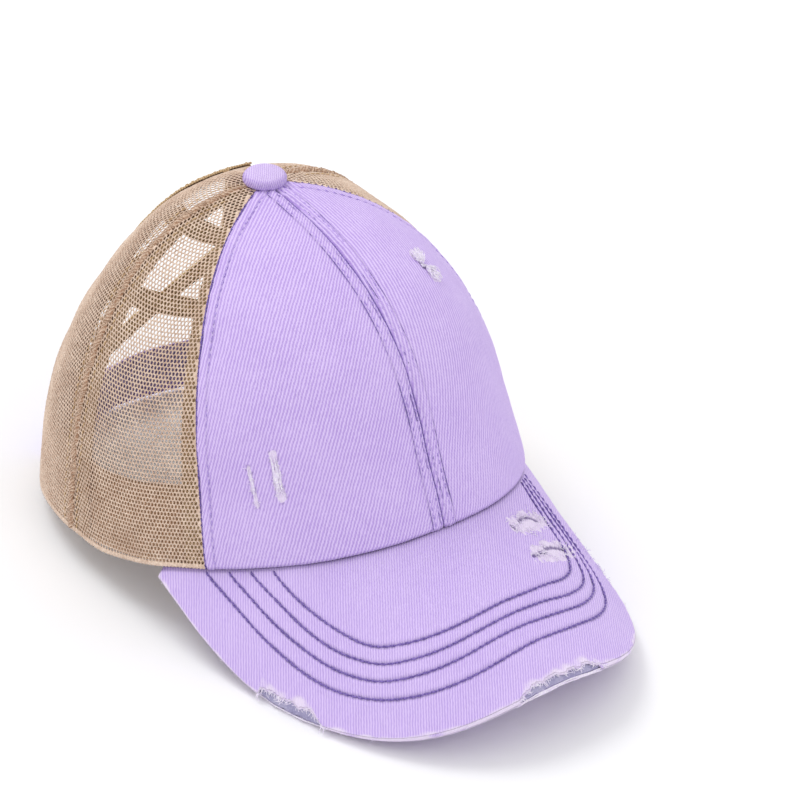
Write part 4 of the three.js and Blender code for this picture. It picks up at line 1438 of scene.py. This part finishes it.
def edge_fray(random):
    """Short threads round the edge, most of them on the worn left side."""
    bodies = []
    for _ in range(EDGE_THREADS):
        place = np.array(random.uniform(0.47, 0.8) if random.uniform() < 0.75 else random.uniform(-1, 1))
        share = 1 - random.uniform(0, 0.6) / brim_span(place)
        start = brim_point(place, share, BRIM_THICKNESS - random.uniform(0.2, 2.4))
        facing = brim_facing(place)
        outwards = brim_outwards(place)
        along = np.cross(facing, outwards)
        direction = outwards * 0.5 + along * random.choice([-1, 1]) * random.uniform(0.6, 1.4)
        direction = unit(direction + facing * random.uniform(-0.5, 0.3))
        bodies.append(loose_thread(start, direction, facing, random.uniform(0.7, 2.2), random, radius=0.1))
    return bodies


def tear_rim(tear):
    """Threads that run along a tear, one over the other."""
    bodies = []
    place = tear["place"] + tear["span"] * np.linspace(-1.05, 1.05, 60)
    for k in range(TEAR_RIM_THREADS):
        drift = 0.25 + 0.2 * edge_wobble(place, 6.0, 96 + k)
        height = 0.5 + 0.42 * k + 0.25 * edge_wobble(place, 5.0, 106 + k)
        bodies.append(thread_body(brim_point(place, 1 - drift / brim_span(place), height), 0.3, sides=6))
    return bodies


def edge_fuzz(random):
    """Fine threads that stand off the cloth just inside the worn left edge."""
    bodies = []
    for _ in range(FUZZ_THREADS):
        place = np.array(random.uniform(0.475, 0.54))
        share = 1 - random.uniform(7, 29) / brim_span(place)
        facing = brim_facing(place)
        outwards = brim_outwards(place)
        direction = facing * random.uniform(0.1, 0.7) + outwards * random.uniform(-0.8, 0.8)
        direction = unit(direction + np.cross(facing, outwards) * random.uniform(-0.9, 0.9))
        start = brim_point(place, share, BRIM_THICKNESS - 0.1)
        bodies.append(loose_thread(start, direction, facing, random.uniform(0.8, 1.9), random, radius=0.09))
    return bodies


def brim_fray(places, edge_inset):
    """Loose threads at the tears, over the worn places and on the worn left edge."""
    random = np.random.default_rng(95)
    bodies = []
    for tear in BRIM_TEARS:
        bodies += tear_fray(tear, places, edge_inset, random)
    for patch in BRIM_PATCHES:
        bodies += patch_fray(patch, random)
    bodies += edge_fray(random)
    for tear in BRIM_TEARS:
        bodies += tear_rim(tear)
    thread_piece("brim_fray", bodies, pale_thread)
    thread_piece("brim_edge_fuzz", edge_fuzz(random), fuzz_thread)


brim_table_place = np.linspace(-1, 1, 201)
brim_table_share = np.linspace(0, 1, 81)
brim_table = brim_point(brim_table_place[:, None], brim_table_share[None, :], np.array(BRIM_THICKNESS))


def brim_place_of(target):
    """The place and share on the brim that lie over a point on the ground plan."""
    distance = ((brim_table[..., :2] - target) ** 2).sum(axis=-1)
    i, j = np.unravel_index(distance.argmin(), distance.shape)
    return np.array(brim_table_place[i]), np.array(brim_table_share[j])


cover_places, cover_inset = brim_cover("brim_cover_top", True)
brim_cover("brim_cover_under", False)
brim_board()
brim_stitches(True)
brim_stitches(False)
brim_fray(cover_places, cover_inset)


# Ribbons and sheets on the crown

def ribbon_grid(line, stations, offsets, lift):
    """Points of a ribbon that follows a line of bearing and rise, square across it."""
    nudge = 0.01
    t = np.linspace(0, 1, stations)
    bearing, rise = line(t)
    before = line(t - nudge)
    after = line(t + nudge)
    across, up, _ = crown_axes(bearing, rise)
    ahead = across * (after[0] - before[0])[:, None] + up * (after[1] - before[1])[:, None]
    side = np.cross(np.cross(across, up), ahead)
    side /= np.linalg.norm(side, axis=1, keepdims=True)
    cross = (across * up).sum(axis=1)
    across_size = (across ** 2).sum(axis=1)
    up_size = (up ** 2).sum(axis=1)
    scale = across_size * up_size - cross ** 2
    side_across = (side * across).sum(axis=1)
    side_up = (side * up).sum(axis=1)
    bearing_step = (side_across * up_size - side_up * cross) / scale
    rise_step = (side_up * across_size - side_across * cross) / scale
    bearings = bearing[:, None] + bearing_step[:, None] * offsets
    rises = rise[:, None] + rise_step[:, None] * offsets
    lifts = lift(t[:, None], offsets[None, :] * np.ones((stations, 1)))
    return layer_point(bearings, np.maximum(rises, -3.0), lifts)


def cloth_flat(points, offsets, inner_offsets):
    """Flat coordinates for both faces: across the ribbon, and the length along it."""
    along = line_lengths(points[:, points.shape[1] // 2])
    parts = []
    for values in (offsets, inner_offsets):
        u = np.ones((len(along), 1)) * values[None, :]
        parts.append(flat_points(u, spread(along, len(values))).reshape(-1, 3))
    return np.concatenate(parts)


def ribbon_piece(name, line, width, stations, top, thickness, material, replaces=(),
                 profile=None, columns=21, edge_round=0.5, cord=None, groove_shade=None):
    """A closed ribbon with rounded edges. The profile adds height across it."""
    half = width / 2
    turn = np.linspace(-math.pi / 2, math.pi / 2, columns)
    offsets = half * (0.35 * np.sin(turn) + 0.65 * np.linspace(-1, 1, columns))
    inner_offsets = np.linspace(-half, half, 7)

    def outer_lift(t, offset):
        lift = top(t) + (profile(t, offset) if profile else 0)
        return lift - edge_round * (1 - smoothstep(half - np.abs(offset), 0, 0.8))

    outer = ribbon_grid(line, stations, offsets, outer_lift)
    inner = ribbon_grid(line, stations, inner_offsets, lambda t, offset: top(t) - thickness + 0 * offset)
    points, faces = two_sided(outer, inner)
    cloth = cloth_flat(outer, offsets, inner_offsets)
    attributes = {"cloth": cloth}
    for key, mask in (("cord", cord), ("groove_shade", groove_shade)):
        if mask:
            attributes[key] = np.clip(mask(cloth[:, 0], cloth[:, 1]), 0, 1)
    new_piece(name, points, faces, material, replaces=replaces, attributes=attributes)
    return outer


def surface_normals(grid):
    normals = np.cross(np.gradient(grid, axis=1), np.gradient(grid, axis=0))
    return normals / (np.linalg.norm(normals, axis=-1, keepdims=True) + TINY)


def outward_from_axis(points):
    away = points - np.array([0, CROWN_AXIS_Y, 45.0])
    return away / np.linalg.norm(away, axis=-1, keepdims=True)


# Tapes

TAPE_STITCH = {"pitch": 2.8, "radius": 0.24, "sides": 5}
TAPE_STITCH_ROWS = (1.5, 9.0)
TAPE_ROW_HEIGHT = 0.75
RIDGE_HEIGHT_RATE = 2.2  # millimetres or so up the seam for each degree of rise
RIDGE_FOOT = -0.6
LOWER_RISES = np.linspace(0, OPENING_TOP_RISE, 190)


def seam_tape(name, seam, side):
    """A tape along the inside of a seam, wider at the rim."""
    rows, columns = 120, 17
    rises = np.linspace(0, SEAM_TAPE_TOP_RISE, rows)
    middle = seam_bearing(seam, rises)
    rim_width, top_width = SEAM_TAPE_WIDTHS
    half = (rim_width + (top_width - rim_width) * rises / SEAM_TAPE_TOP_RISE) / 2
    share = np.linspace(-1, 1, columns)
    offsets = half[:, None] * share
    bearings = side * (middle[:, None] + bearing_for(offsets, middle[:, None], rises[:, None]))
    top = -CLOTH - LAYER_GAP
    lift = top - 0.35 * (1 - smoothstep(half[:, None] - np.abs(offsets), 0, 1.0)) + 0.1 * bump(offsets, 1.0)
    outer = layer_point(bearings, spread(rises, columns), lift)
    inner_lift = np.full((rows, 5), top - SEAM_TAPE_THICKNESS)
    inner = layer_point(bearings[:, ::4], spread(rises, 5), inner_lift)
    points, faces = two_sided(outer, inner)
    new_piece(f"{name}_cloth", points, faces, tape_cloth, replaces=[name], attributes={
        "cloth": cloth_flat(outer, share * 8, share[::4] * 8)})


def opening_tape(side_name, side):
    """The tape that binds the opening: flat outside, and rolled over the cut edge."""
    name = f"opening_tape_{side_name}"
    rises = np.concatenate([LOWER_RISES, [OPENING_TOP_RISE + 0.75, OPENING_TAPE_TOP_RISE]])
    height = np.cumsum(np.full(len(rises), TAPE_ROW_HEIGHT))
    inset = np.concatenate([[0.05, 0.0, 0.05, 0.25], np.linspace(0.6, 10.1, 22), [10.4, 10.5]])
    lift = np.concatenate([[-1.6, -0.9, 0.1, 0.85], np.full(22, 1.2), [0.95, 0.45]])
    insets = np.ones((len(rises), 1)) * inset
    lifts = np.ones((len(rises), 1)) * lift
    pucker = 0.6 + 0.4 * np.cos(2 * math.pi * height / TAPE_STITCH["pitch"])[:, None]
    for row in TAPE_STITCH_ROWS:
        lifts = lifts - 0.22 * pucker * bump(insets - row, 0.9)
    lifts += 0.1 * wobble(insets, height[:, None], 9.0, 101) * (insets > 0.5)
    rise_grid = spread(rises, len(inset))
    outer = layer_point(side * opening_edge(rise_grid, insets), rise_grid, lifts)
    inner_inset = np.array([1.2, 4.0, 7.0, 10.2])
    inner_rise = spread(rises, 4)
    inner_bearing = side * opening_edge(inner_rise, np.ones((len(rises), 1)) * inner_inset)
    inner = layer_point(inner_bearing, inner_rise, np.full(inner_rise.shape, LAYER_GAP))
    foot = crown_point(opening_edge(AT_RIM, OPENING_TAPE_WIDTH), 0.0)[2]
    for grid in (outer, inner):
        grid[..., 2] = np.where(grid[..., 2] <= foot + 1e-3, 0, grid[..., 2])
    points, faces = two_sided(outer, inner)
    attributes = {"cloth": cloth_flat(outer, inset, inner_inset)}
    new_piece(f"{name}_cloth", points, faces, tape_cloth, replaces=[name], attributes=attributes)
    bodies = []
    seen = rises[2:]
    for k, row in enumerate(TAPE_STITCH_ROWS):
        line = layer_point(side * opening_edge(seen, row), seen, np.full(len(seen), 1.12))
        bodies += stitch_row(line, outward_from_axis(line), seed=110 + k, **TAPE_STITCH)
    thread_piece(f"{name}_stitches", bodies, tan_thread)


def seam_ridge(side_name, side):
    """The rolled seam between the side and the back panel, with its wavy cut edge."""
    rows, columns = 330, 11
    rises = np.linspace(0.4, 86.0, rows)
    middle = seam_bearing(BACK_SEAM, rises)
    share = np.linspace(-1, 1, columns)
    height = rises * RIDGE_HEIGHT_RATE
    half = 1.45 + 0.4 * wobble(height, 0 * height, 5.0, 121) + 0.25 * wobble(height, 0 * height, 1.6, 122)
    half *= 0.55 + 0.45 * smoothstep(90 - rises, 3, 14)
    offsets = half[:, None] * share
    lift = 1.05 * np.sqrt(np.maximum(1 - share ** 2, 0))[None, :] - 0.25
    lift = lift * (0.9 + 0.22 * wobble(height, 0 * height, 2.8, 124))[:, None]
    lift += 0.28 * wobble(offsets, height[:, None], 2.4, 123)
    offsets = offsets + 0.45 * wobble(height, 0 * height, 6.0, 125)[:, None]
    bearings = side * (middle[:, None] + bearing_for(offsets, middle[:, None], rises[:, None]))
    outer = layer_point(bearings, spread(rises, columns), lift)
    inner = layer_point(bearings[:, ::5], spread(rises, 3), np.full((rows, 3), RIDGE_FOOT))
    points, faces = two_sided(outer, inner)
    new_piece(f"back_seam_ridge_{side_name}", points, faces, ridge_cloth, attributes={
        "cloth": cloth_flat(outer, share * 2, share[::5] * 2)})


# Sweatband, elastics, closure and patch

SWEATBAND_END_BEARING = 150.0  # where its height is measured
SWEATBAND_SEAM_ROW = 0.9  # as a share of its height
SWEATBAND_WRAP = 1.6  # millimetres or so along it for each degree


def sweatband():
    """The band inside the rim, with small puckers near its upper edge."""
    rows = np.linspace(0, 1, 34)
    turns = np.linspace(-1, 1, 210)
    end_rise = rows * rise_at_distance(SWEATBAND_END_BEARING, SWEATBAND_HEIGHT)
    edge = opening_edge(end_rise, SWEATBAND_END_INSET)
    bearings = turns[None, :] * edge[:, None]
    rises = rows[:, None] * rise_at_distance(bearings, SWEATBAND_HEIGHT)
    end_round = 1 - smoothstep(np.minimum(rows, 1 - rows), 0, 0.04)
    puckers = 0.12 * np.cos(turns * 260)[None, :] * bump(rows - SWEATBAND_SEAM_ROW, 0.06)[:, None]
    lift = -SWEATBAND_DEPTH - 0.3 * end_round[:, None] + 0 * bearings
    outer = layer_point(bearings, rises, lift)
    low = -SWEATBAND_DEPTH - SWEATBAND_THICKNESS + 0.35 * end_round[:, None] + puckers
    low = low - 0.25 * bump(rows - SWEATBAND_SEAM_ROW, 0.05)[:, None]
    low = low + 0.12 * wobble(bearings * 1.4, rises, 9.0, 131)
    inner = layer_point(bearings, rises, low)
    points, faces = two_sided(outer, inner)
    u = bearings * SWEATBAND_WRAP
    flat = flat_points(u, spread(rows * SWEATBAND_HEIGHT, len(turns))).reshape(-1, 3)
    # The outer face is marked for the band's painted highlight.
    new_piece("sweatband_cloth", points, faces, band_cloth, replaces=["sweatband"],
              attributes={"cloth": np.concatenate([flat, flat]), "outer": np.repeat([1.0, 0.0], len(flat))})


ELASTIC_TOP = -CLOTH - TUCK_GAP
ELASTIC_CORD = 4.35
ELASTIC_GROOVES = (3.3, 2.35)
STRAP_STITCH = {"pitch": 2.4, "radius": 0.24, "sides": 5}
STRAP_SELVEDGE = 8.6
STRAP_STATIONS = 150
STRAP_COLUMNS = 33
STRAP_STITCH_COLUMNS = (2, 30)
STRAP_STITCH_STATIONS = (127, 145)


def elastic(item):
    """A stretched elastic across the opening, tucked behind the panel at both ends."""
    left_edge = float(opening_edge(np.array(item["left"])))
    right_edge = 360 - float(opening_edge(np.array(item["right"])))
    left_end = float(opening_edge(np.array(item["left"]), ELASTIC_TUCK))
    right_end = 360 - float(opening_edge(np.array(item["right"]), ELASTIC_TUCK))
    slope = (item["right"] - item["left"]) / (right_edge - left_edge)

    def line(t):
        bearing = left_end + (right_end - left_end) * np.asarray(t, float)
        return bearing, item["left"] + slope * (bearing - left_edge)

    middle = float(line(0.5)[1])
    share = max(1 - middle / OPENING_TOP_RISE, 0)
    half_width = OPENING_HALF_WIDTH * share ** OPENING_TAPER
    sag = half_width ** 2 / (2 * float(radius_at(180.0, middle))) * ELASTIC_PULL
    step = ELASTIC_THICKNESS + LAYER_GAP
    first, last = item["layers"]

    def top(t):
        layer = first + (last - first) * smoothstep(t, 0.08, 0.34)
        return ELASTIC_TOP - layer * step - sag * 4 * t * (1 - t)

    def profile(t, offset):
        lift = 0.16 * bump(np.abs(offset) - ELASTIC_CORD, 0.55)
        for row in ELASTIC_GROOVES:
            lift -= 0.2 * bump(np.abs(offset) - row, 0.42)
        return lift + 0.05 * np.sin(t * 900)

    def cord(u, v):
        return bump(np.abs(u) - 4.4, 0.6) + bump(np.abs(u) - 2.8, 0.4)

    # Painted shade along the elastic's grooves, as a mask.
    def groove_shade(u, v):
        return sum(bump(np.abs(u) - row, 0.4) for row in ELASTIC_GROOVES)

    ribbon_piece(f"{item['name']}_band", line, ELASTIC_WIDTH, 110, top, ELASTIC_THICKNESS, elastic_cloth,
                 replaces=[item["name"]], profile=profile, columns=45, edge_round=0.35,
                 cord=cord, groove_shade=groove_shade)


closure_top = 2 * LAYER_GAP + OPENING_TAPE_THICKNESS + CLOSURE_THICKNESS
closure_start = edge_at_rim(CLOSURE_TUCK)
closure_end = 360 - edge_at_rim(CLOSURE_OVERLAP)
loop_start = edge_at_rim(-LOOP_FROM_EDGE)
loop_end = 360 - closure_start


def closure_lift(t):
    return ELASTIC_TOP + (closure_top - ELASTIC_TOP) * smoothstep(t, 0.1, 0.8)


def tab_line(t):
    bearing = closure_start + (closure_end - closure_start) * np.asarray(t, float)
    return bearing, rise_at_height(bearing, CLOSURE_FLOOR_GAP + CLOSURE_HEIGHT / 2)


def loop_lift(t):
    bearing = loop_start + (loop_end - loop_start) * t
    along_tab = (bearing - closure_start) / (closure_end - closure_start)
    under_tab = closure_lift(along_tab) - CLOSURE_THICKNESS - LAYER_GAP
    return under_tab + (ELASTIC_TOP - under_tab) * smoothstep(t, 0.3, 0.78)


def loop_line(t):
    t = np.asarray(t, float)
    bearing = loop_start + (loop_end - loop_start) * t
    showing = LOOP_LIFT * (1 - smoothstep(t, 0.45, 0.9))
    return bearing, rise_at_height(bearing, CLOSURE_FLOOR_GAP + CLOSURE_HEIGHT / 2 + showing)


def closure():
    """The strap: its tab over the loop strip, with stitches round the tab."""
    def tab_profile(t, offset):
        lift = 0.1 * wobble(offset, t * 90, 14.0, 141) - 0.3 * (1 - smoothstep(1 - t, 0, 0.02))
        for row in (-STRAP_SELVEDGE, STRAP_SELVEDGE):
            lift = lift - 0.16 * bump(offset - row, 0.8)
        return lift

    tab = ribbon_piece("closure_tab_webbing", tab_line, CLOSURE_HEIGHT, STRAP_STATIONS, closure_lift,
                       CLOSURE_THICKNESS, strap_cloth,
                       replaces=["closure_tab"], profile=tab_profile,
                       columns=STRAP_COLUMNS, edge_round=0.4, cord=lambda u, v: bump(np.abs(u) - 9.6, 0.7))

    def loop_profile(t, offset):
        return 0.16 * wobble(offset, t * 90, 1.5, 142) * (np.abs(offset) < STRAP_SELVEDGE)

    ribbon_piece("closure_loop_strip_pile", loop_line, CLOSURE_HEIGHT, STRAP_STATIONS, loop_lift,
                 CLOSURE_THICKNESS, pile_cloth,
                 replaces=["closure_loop_strip"], profile=loop_profile,
                 columns=STRAP_COLUMNS, edge_round=0.3, cord=lambda u, v: bump(np.abs(u) - 9.7, 0.9))

    bodies = []
    normals = -surface_normals(tab)
    if (normals * outward_from_axis(tab)).sum() < 0:
        normals = -normals
    for column in STRAP_STITCH_COLUMNS:
        bodies += stitch_row(tab[5:145, column], normals[5:145, column], seed=150 + column, **STRAP_STITCH)
    for row in STRAP_STITCH_STATIONS:
        bodies += stitch_row(tab[row, 2:31], normals[row, 2:31], seed=160 + row, **STRAP_STITCH)
    thread_piece("closure_stitches", bodies, lilac_thread)


def leather_patch():
    """The plain patch over the rim, with a pressed line inside its edge."""
    end = edge_at_rim(OPENING_TAPE_WIDTH) - float(bearing_for(PATCH_FROM_TAPE, *PATCH_MIDDLE))
    start = end - float(bearing_for(PATCH_LENGTH, *PATCH_MIDDLE))

    def line(t):
        bearing = start + (end - start) * np.asarray(t, float)
        return bearing, rise_at_height(bearing, rim_height(bearing) + PATCH_RIM_GAP + PATCH_HEIGHT / 2)

    half = PATCH_HEIGHT / 2

    def profile(t, offset):
        from_end = np.minimum(t, 1 - t) * PATCH_LENGTH
        from_side = half - np.abs(offset)
        near = np.minimum(from_end, from_side)
        lift = -0.45 * (1 - smoothstep(from_end, 0, 0.9))
        return lift + 0.08 * wobble(offset, t * PATCH_LENGTH, 5.0, 171) - 0.14 * bump(near - 1.7, 0.5)

    def edge(u, v):
        near = np.minimum(half - np.abs(u), np.minimum(v, v.max() - v))
        return 1 - smoothstep(near, 0.3, 1.3)

    ribbon_piece("patch_leather", line, PATCH_HEIGHT, 90, lambda t: LAYER_GAP + PATCH_THICKNESS + 0 * t,
                 PATCH_THICKNESS, leather, replaces=["patch"], profile=profile,
                 columns=61, edge_round=0.5, cord=edge)


# Button

BUTTON_RADIUS = 8.25
BUTTON_LIFT = 0.35


def cloth_button():
    """The covered button on its stem, with small folds gathered under its rim."""
    seat = CROWN_TOP_HEIGHT + BUTTON_LIFT
    radius = BUTTON_RADIUS
    segments = 96
    profile = [(0.01, seat - 3.6), (6.0, seat - 3.6), (6.0, seat - 2.6), (2.4, seat - 2.5),
               (2.4, seat - 0.1), (radius - 0.9, seat + 0.05), (radius - 0.2, seat + 0.35)]
    for turn in np.linspace(0, 90, 22):
        out = radius * math.cos(math.radians(turn)) ** 0.62
        profile.append((max(out, 0.01), seat + 1.1 + 3.5 * math.sin(math.radians(turn)) ** 0.9))
    profile = np.array(profile)
    angle = np.arange(segments) * 2 * math.pi / segments
    folds = 1 + 0.012 * np.sin(angle * 14 + 1)[None, :] * (profile[:, 1] < seat + 2.2)[:, None]
    out = profile[:, 0:1] * folds
    x = out * np.cos(angle)
    y = out * np.sin(angle) + SHIFT_Y + CROWN_TOP_SETBACK
    z = spread(profile[:, 1], segments) + 0.04 * wobble(x, y, 3.0, 181)
    points, faces = ring_body(np.stack([x, y, z], axis=-1))
    flat = flat_points(points[:, 0], points[:, 1] + points[:, 2] * 0.6)
    # Painted light: the top is painted paler through the wear mask, as lit from above, and the stem and
    # lower side darker with painted shade.
    rim = 1 - smoothstep(points[:, 2], seat + 2.4, seat + 3.8)
    new_piece("button_cloth", points, faces, button_twill, replaces=["button"],
              attributes={"cloth": flat, "worn": 0.45 * (1 - rim), "gap": 0.2 * rim})


# Stitches on the crown

CROWN_STITCH = {"pitch": 3.0, "share": 0.7, "radius": 0.19, "sides": 5}
MESH_STITCH = {"pitch": 3.0, "share": 0.66, "radius": 0.2, "sides": 5}
MESH_STITCH_INSET = 4.6
MESH_STITCH_ROOM = 13  # narrowest panel that still has the row
OVERCAST_PITCH = 2.6


def panel_edge_threads(v, high, mirror, random):
    """The dark cord along the front panel's side edge, partly the cloth's overcast edge and partly painted
    shade where the twill overlaps the mesh, and the threads that wrap it.
    """
    t = np.linspace(0, 1, 460)
    line = front_map.place(np.interp(t * v[-1], v, high) + 0.25, t * (front_map.height - 2), 0 * t - 0.35)
    line = line * mirror
    line = line + outward_from_axis(line) * 0.16 * wobble(t * 150, 0 * t, 1.3, 212)[:, None]
    bodies = [thread_body(line, 0.36, sides=6, tips=0.5)]
    for k in range(int(front_map.height / OVERCAST_PITCH)):
        at = (k + 0.5 + random.uniform(-0.15, 0.15)) * OVERCAST_PITCH
        reach = np.array([-0.9, -0.3, 0.4, 1.0]) + random.uniform(-0.15, 0.15)
        height = np.full(4, at)
        side_limit = front_map.limits(height)[1]
        path = front_map.place(side_limit + reach.clip(max=0), height + reach * 0.5,
                               np.array([-0.45, 0.12, 0.2, -0.2])) * mirror
        bodies.append(thread_body(path, 0.17, sides=4, tips=0.5))
    return bodies


def crown_stitches():
    """Stitch rows beside the seams, the dark threads in the middle seam, laid in its grooves as painted
    shade, and those at the side edges.
    """
    lilac_rows, shade_lines_and_edge_threads, tan_rows = [], [], []
    v = np.linspace(1.0, front_map.height - 2.5, 320)
    low, high = front_map.limits(v)
    for side in (-1, 1):
        mirror = np.array([side, 1, 1])
        rows = [(low + row, 0.22, 190 + k + side) for k, row in enumerate(SEAM_ROWS)]
        rows.append((high - SIDE_SEAM_ROW, 0.05, 200 + side))
        for place, lift, seed in rows:
            line = front_map.place(place, v, np.full(len(v), lift)) * mirror
            lilac_rows += stitch_row(line, outward_from_axis(line), seed=seed, **CROWN_STITCH)
        # Dark lines in the seam's grooves: painted shade built as thread.
        for offset, lift, radius in SEAM_SHADE_LINES:
            line = front_map.place(low + offset, v, np.full(len(v), lift)) * mirror
            line += outward_from_axis(line) * 0.1 * wobble(v, 0 * v, 3.0, 213 + side)[:, None]
            shade_lines_and_edge_threads.append(thread_body(line, radius, sides=4, tips=0.6))
        shade_lines_and_edge_threads += panel_edge_threads(v, high, mirror, np.random.default_rng(211 + side))
        for seam_map, along_back in ((side_map, True), (back_map, False)):
            rows_v = np.linspace(2, seam_map.height * 0.93, 300)
            left, right = seam_map.limits(rows_v)
            place = right - MESH_STITCH_INSET if along_back else left + MESH_STITCH_INSET
            keep = right - left > MESH_STITCH_ROOM
            line = seam_map.place(place[keep], rows_v[keep], np.full(keep.sum(), -0.12)) * mirror
            tan_rows += stitch_row(line, outward_from_axis(line), seed=220 + side, **MESH_STITCH)
    thread_piece("crown_stitches_lilac", lilac_rows, lilac_thread)
    thread_piece("front_seam_shade_lines_and_edges", shade_lines_and_edge_threads, purple_thread)
    thread_piece("crown_stitches_tan", tan_rows, tan_thread)


for side_name, side in SIDES:
    seam_tape(f"seam_tape_front_{side_name}", FRONT_SEAM, side)
    seam_tape(f"seam_tape_back_{side_name}", BACK_SEAM, side)
    opening_tape(side_name, side)
    seam_ridge(side_name, side)
sweatband()
for item in ELASTICS:
    elastic(item)
closure()
leather_patch()
cloth_button()
crown_stitches()


# Floor, light and camera

FLOOR_SIZE = 12.0
WORLD_STRENGTH = 0.84
LIGHT_TARGET = (0, 0, 0.06)
LIGHTS = [
    {"name": "key", "place": (-0.3, 0.9, 1.6), "size": 0.9, "watts": 9.5},
    {"name": "fill", "place": (0.15, -1.35, 1.2), "size": 0.8, "watts": 3.0},
]
CAMERA_LENS = 158.85
CAMERA_SENSOR = 36.0
CAMERA_CLIP = (0.05, 30.0)
CAMERA_PLACE = (-0.657888, -0.881666, 0.777808)
CAMERA_RIGHT = (0.80053743, -0.59852597, 0.03010776)
CAMERA_UP = (0.30359708, 0.44835639, 0.84071717)
CAMERA_BACK = (-0.51669007, -0.66388494, 0.54063681)


def stage():
    bpy.ops.mesh.primitive_plane_add(size=FLOOR_SIZE, location=(0, 0, 0))
    floor = bpy.context.object
    floor.name = "floor"
    paint = Paint("floor_paper", roughness=0.9, specular=0.1)
    floor.data.materials.append(paint.finish(rgb(252, 252, 254)))

    world = bpy.data.worlds.new("studio")
    world.use_nodes = True
    background = world.node_tree.nodes["Background"]
    background.inputs["Color"].default_value = (1.0, 1.0, 1.0, 1)
    background.inputs["Strength"].default_value = WORLD_STRENGTH
    bpy.context.scene.world = world

    for light in LIGHTS:
        lamp = bpy.data.lights.new(light["name"], "AREA")
        lamp.shape = "DISK"
        lamp.size = light["size"]
        lamp.energy = light["watts"]
        piece = bpy.data.objects.new(light["name"], lamp)
        piece.location = light["place"]
        aim = Vector(LIGHT_TARGET) - Vector(light["place"])
        piece.rotation_euler = aim.to_track_quat("-Z", "Y").to_euler()
        bpy.context.scene.collection.objects.link(piece)


def photograph_camera():
    camera = bpy.data.cameras.new("camera")
    camera.lens = CAMERA_LENS
    camera.sensor_width = CAMERA_SENSOR
    camera.sensor_fit = "HORIZONTAL"
    camera.clip_start, camera.clip_end = CAMERA_CLIP
    piece = bpy.data.objects.new("camera", camera)
    turn = Matrix((CAMERA_RIGHT, CAMERA_UP, CAMERA_BACK)).transposed().to_4x4()
    piece.matrix_world = Matrix.Translation(CAMERA_PLACE) @ turn
    bpy.context.scene.collection.objects.link(piece)
    bpy.context.scene.camera = piece


stage()
photograph_camera()
bpy.context.scene.view_settings.view_transform = "Standard"

lows, highs = [], []
for piece in bpy.context.scene.objects:
    if piece.type == "MESH" and piece.name != "floor" and not piece.hide_render:
        places = [piece.matrix_world @ Vector(corner) for corner in piece.bound_box]
        lows.append([min(p[k] for p in places) for k in range(3)])
        highs.append([max(p[k] for p in places) for k in range(3)])
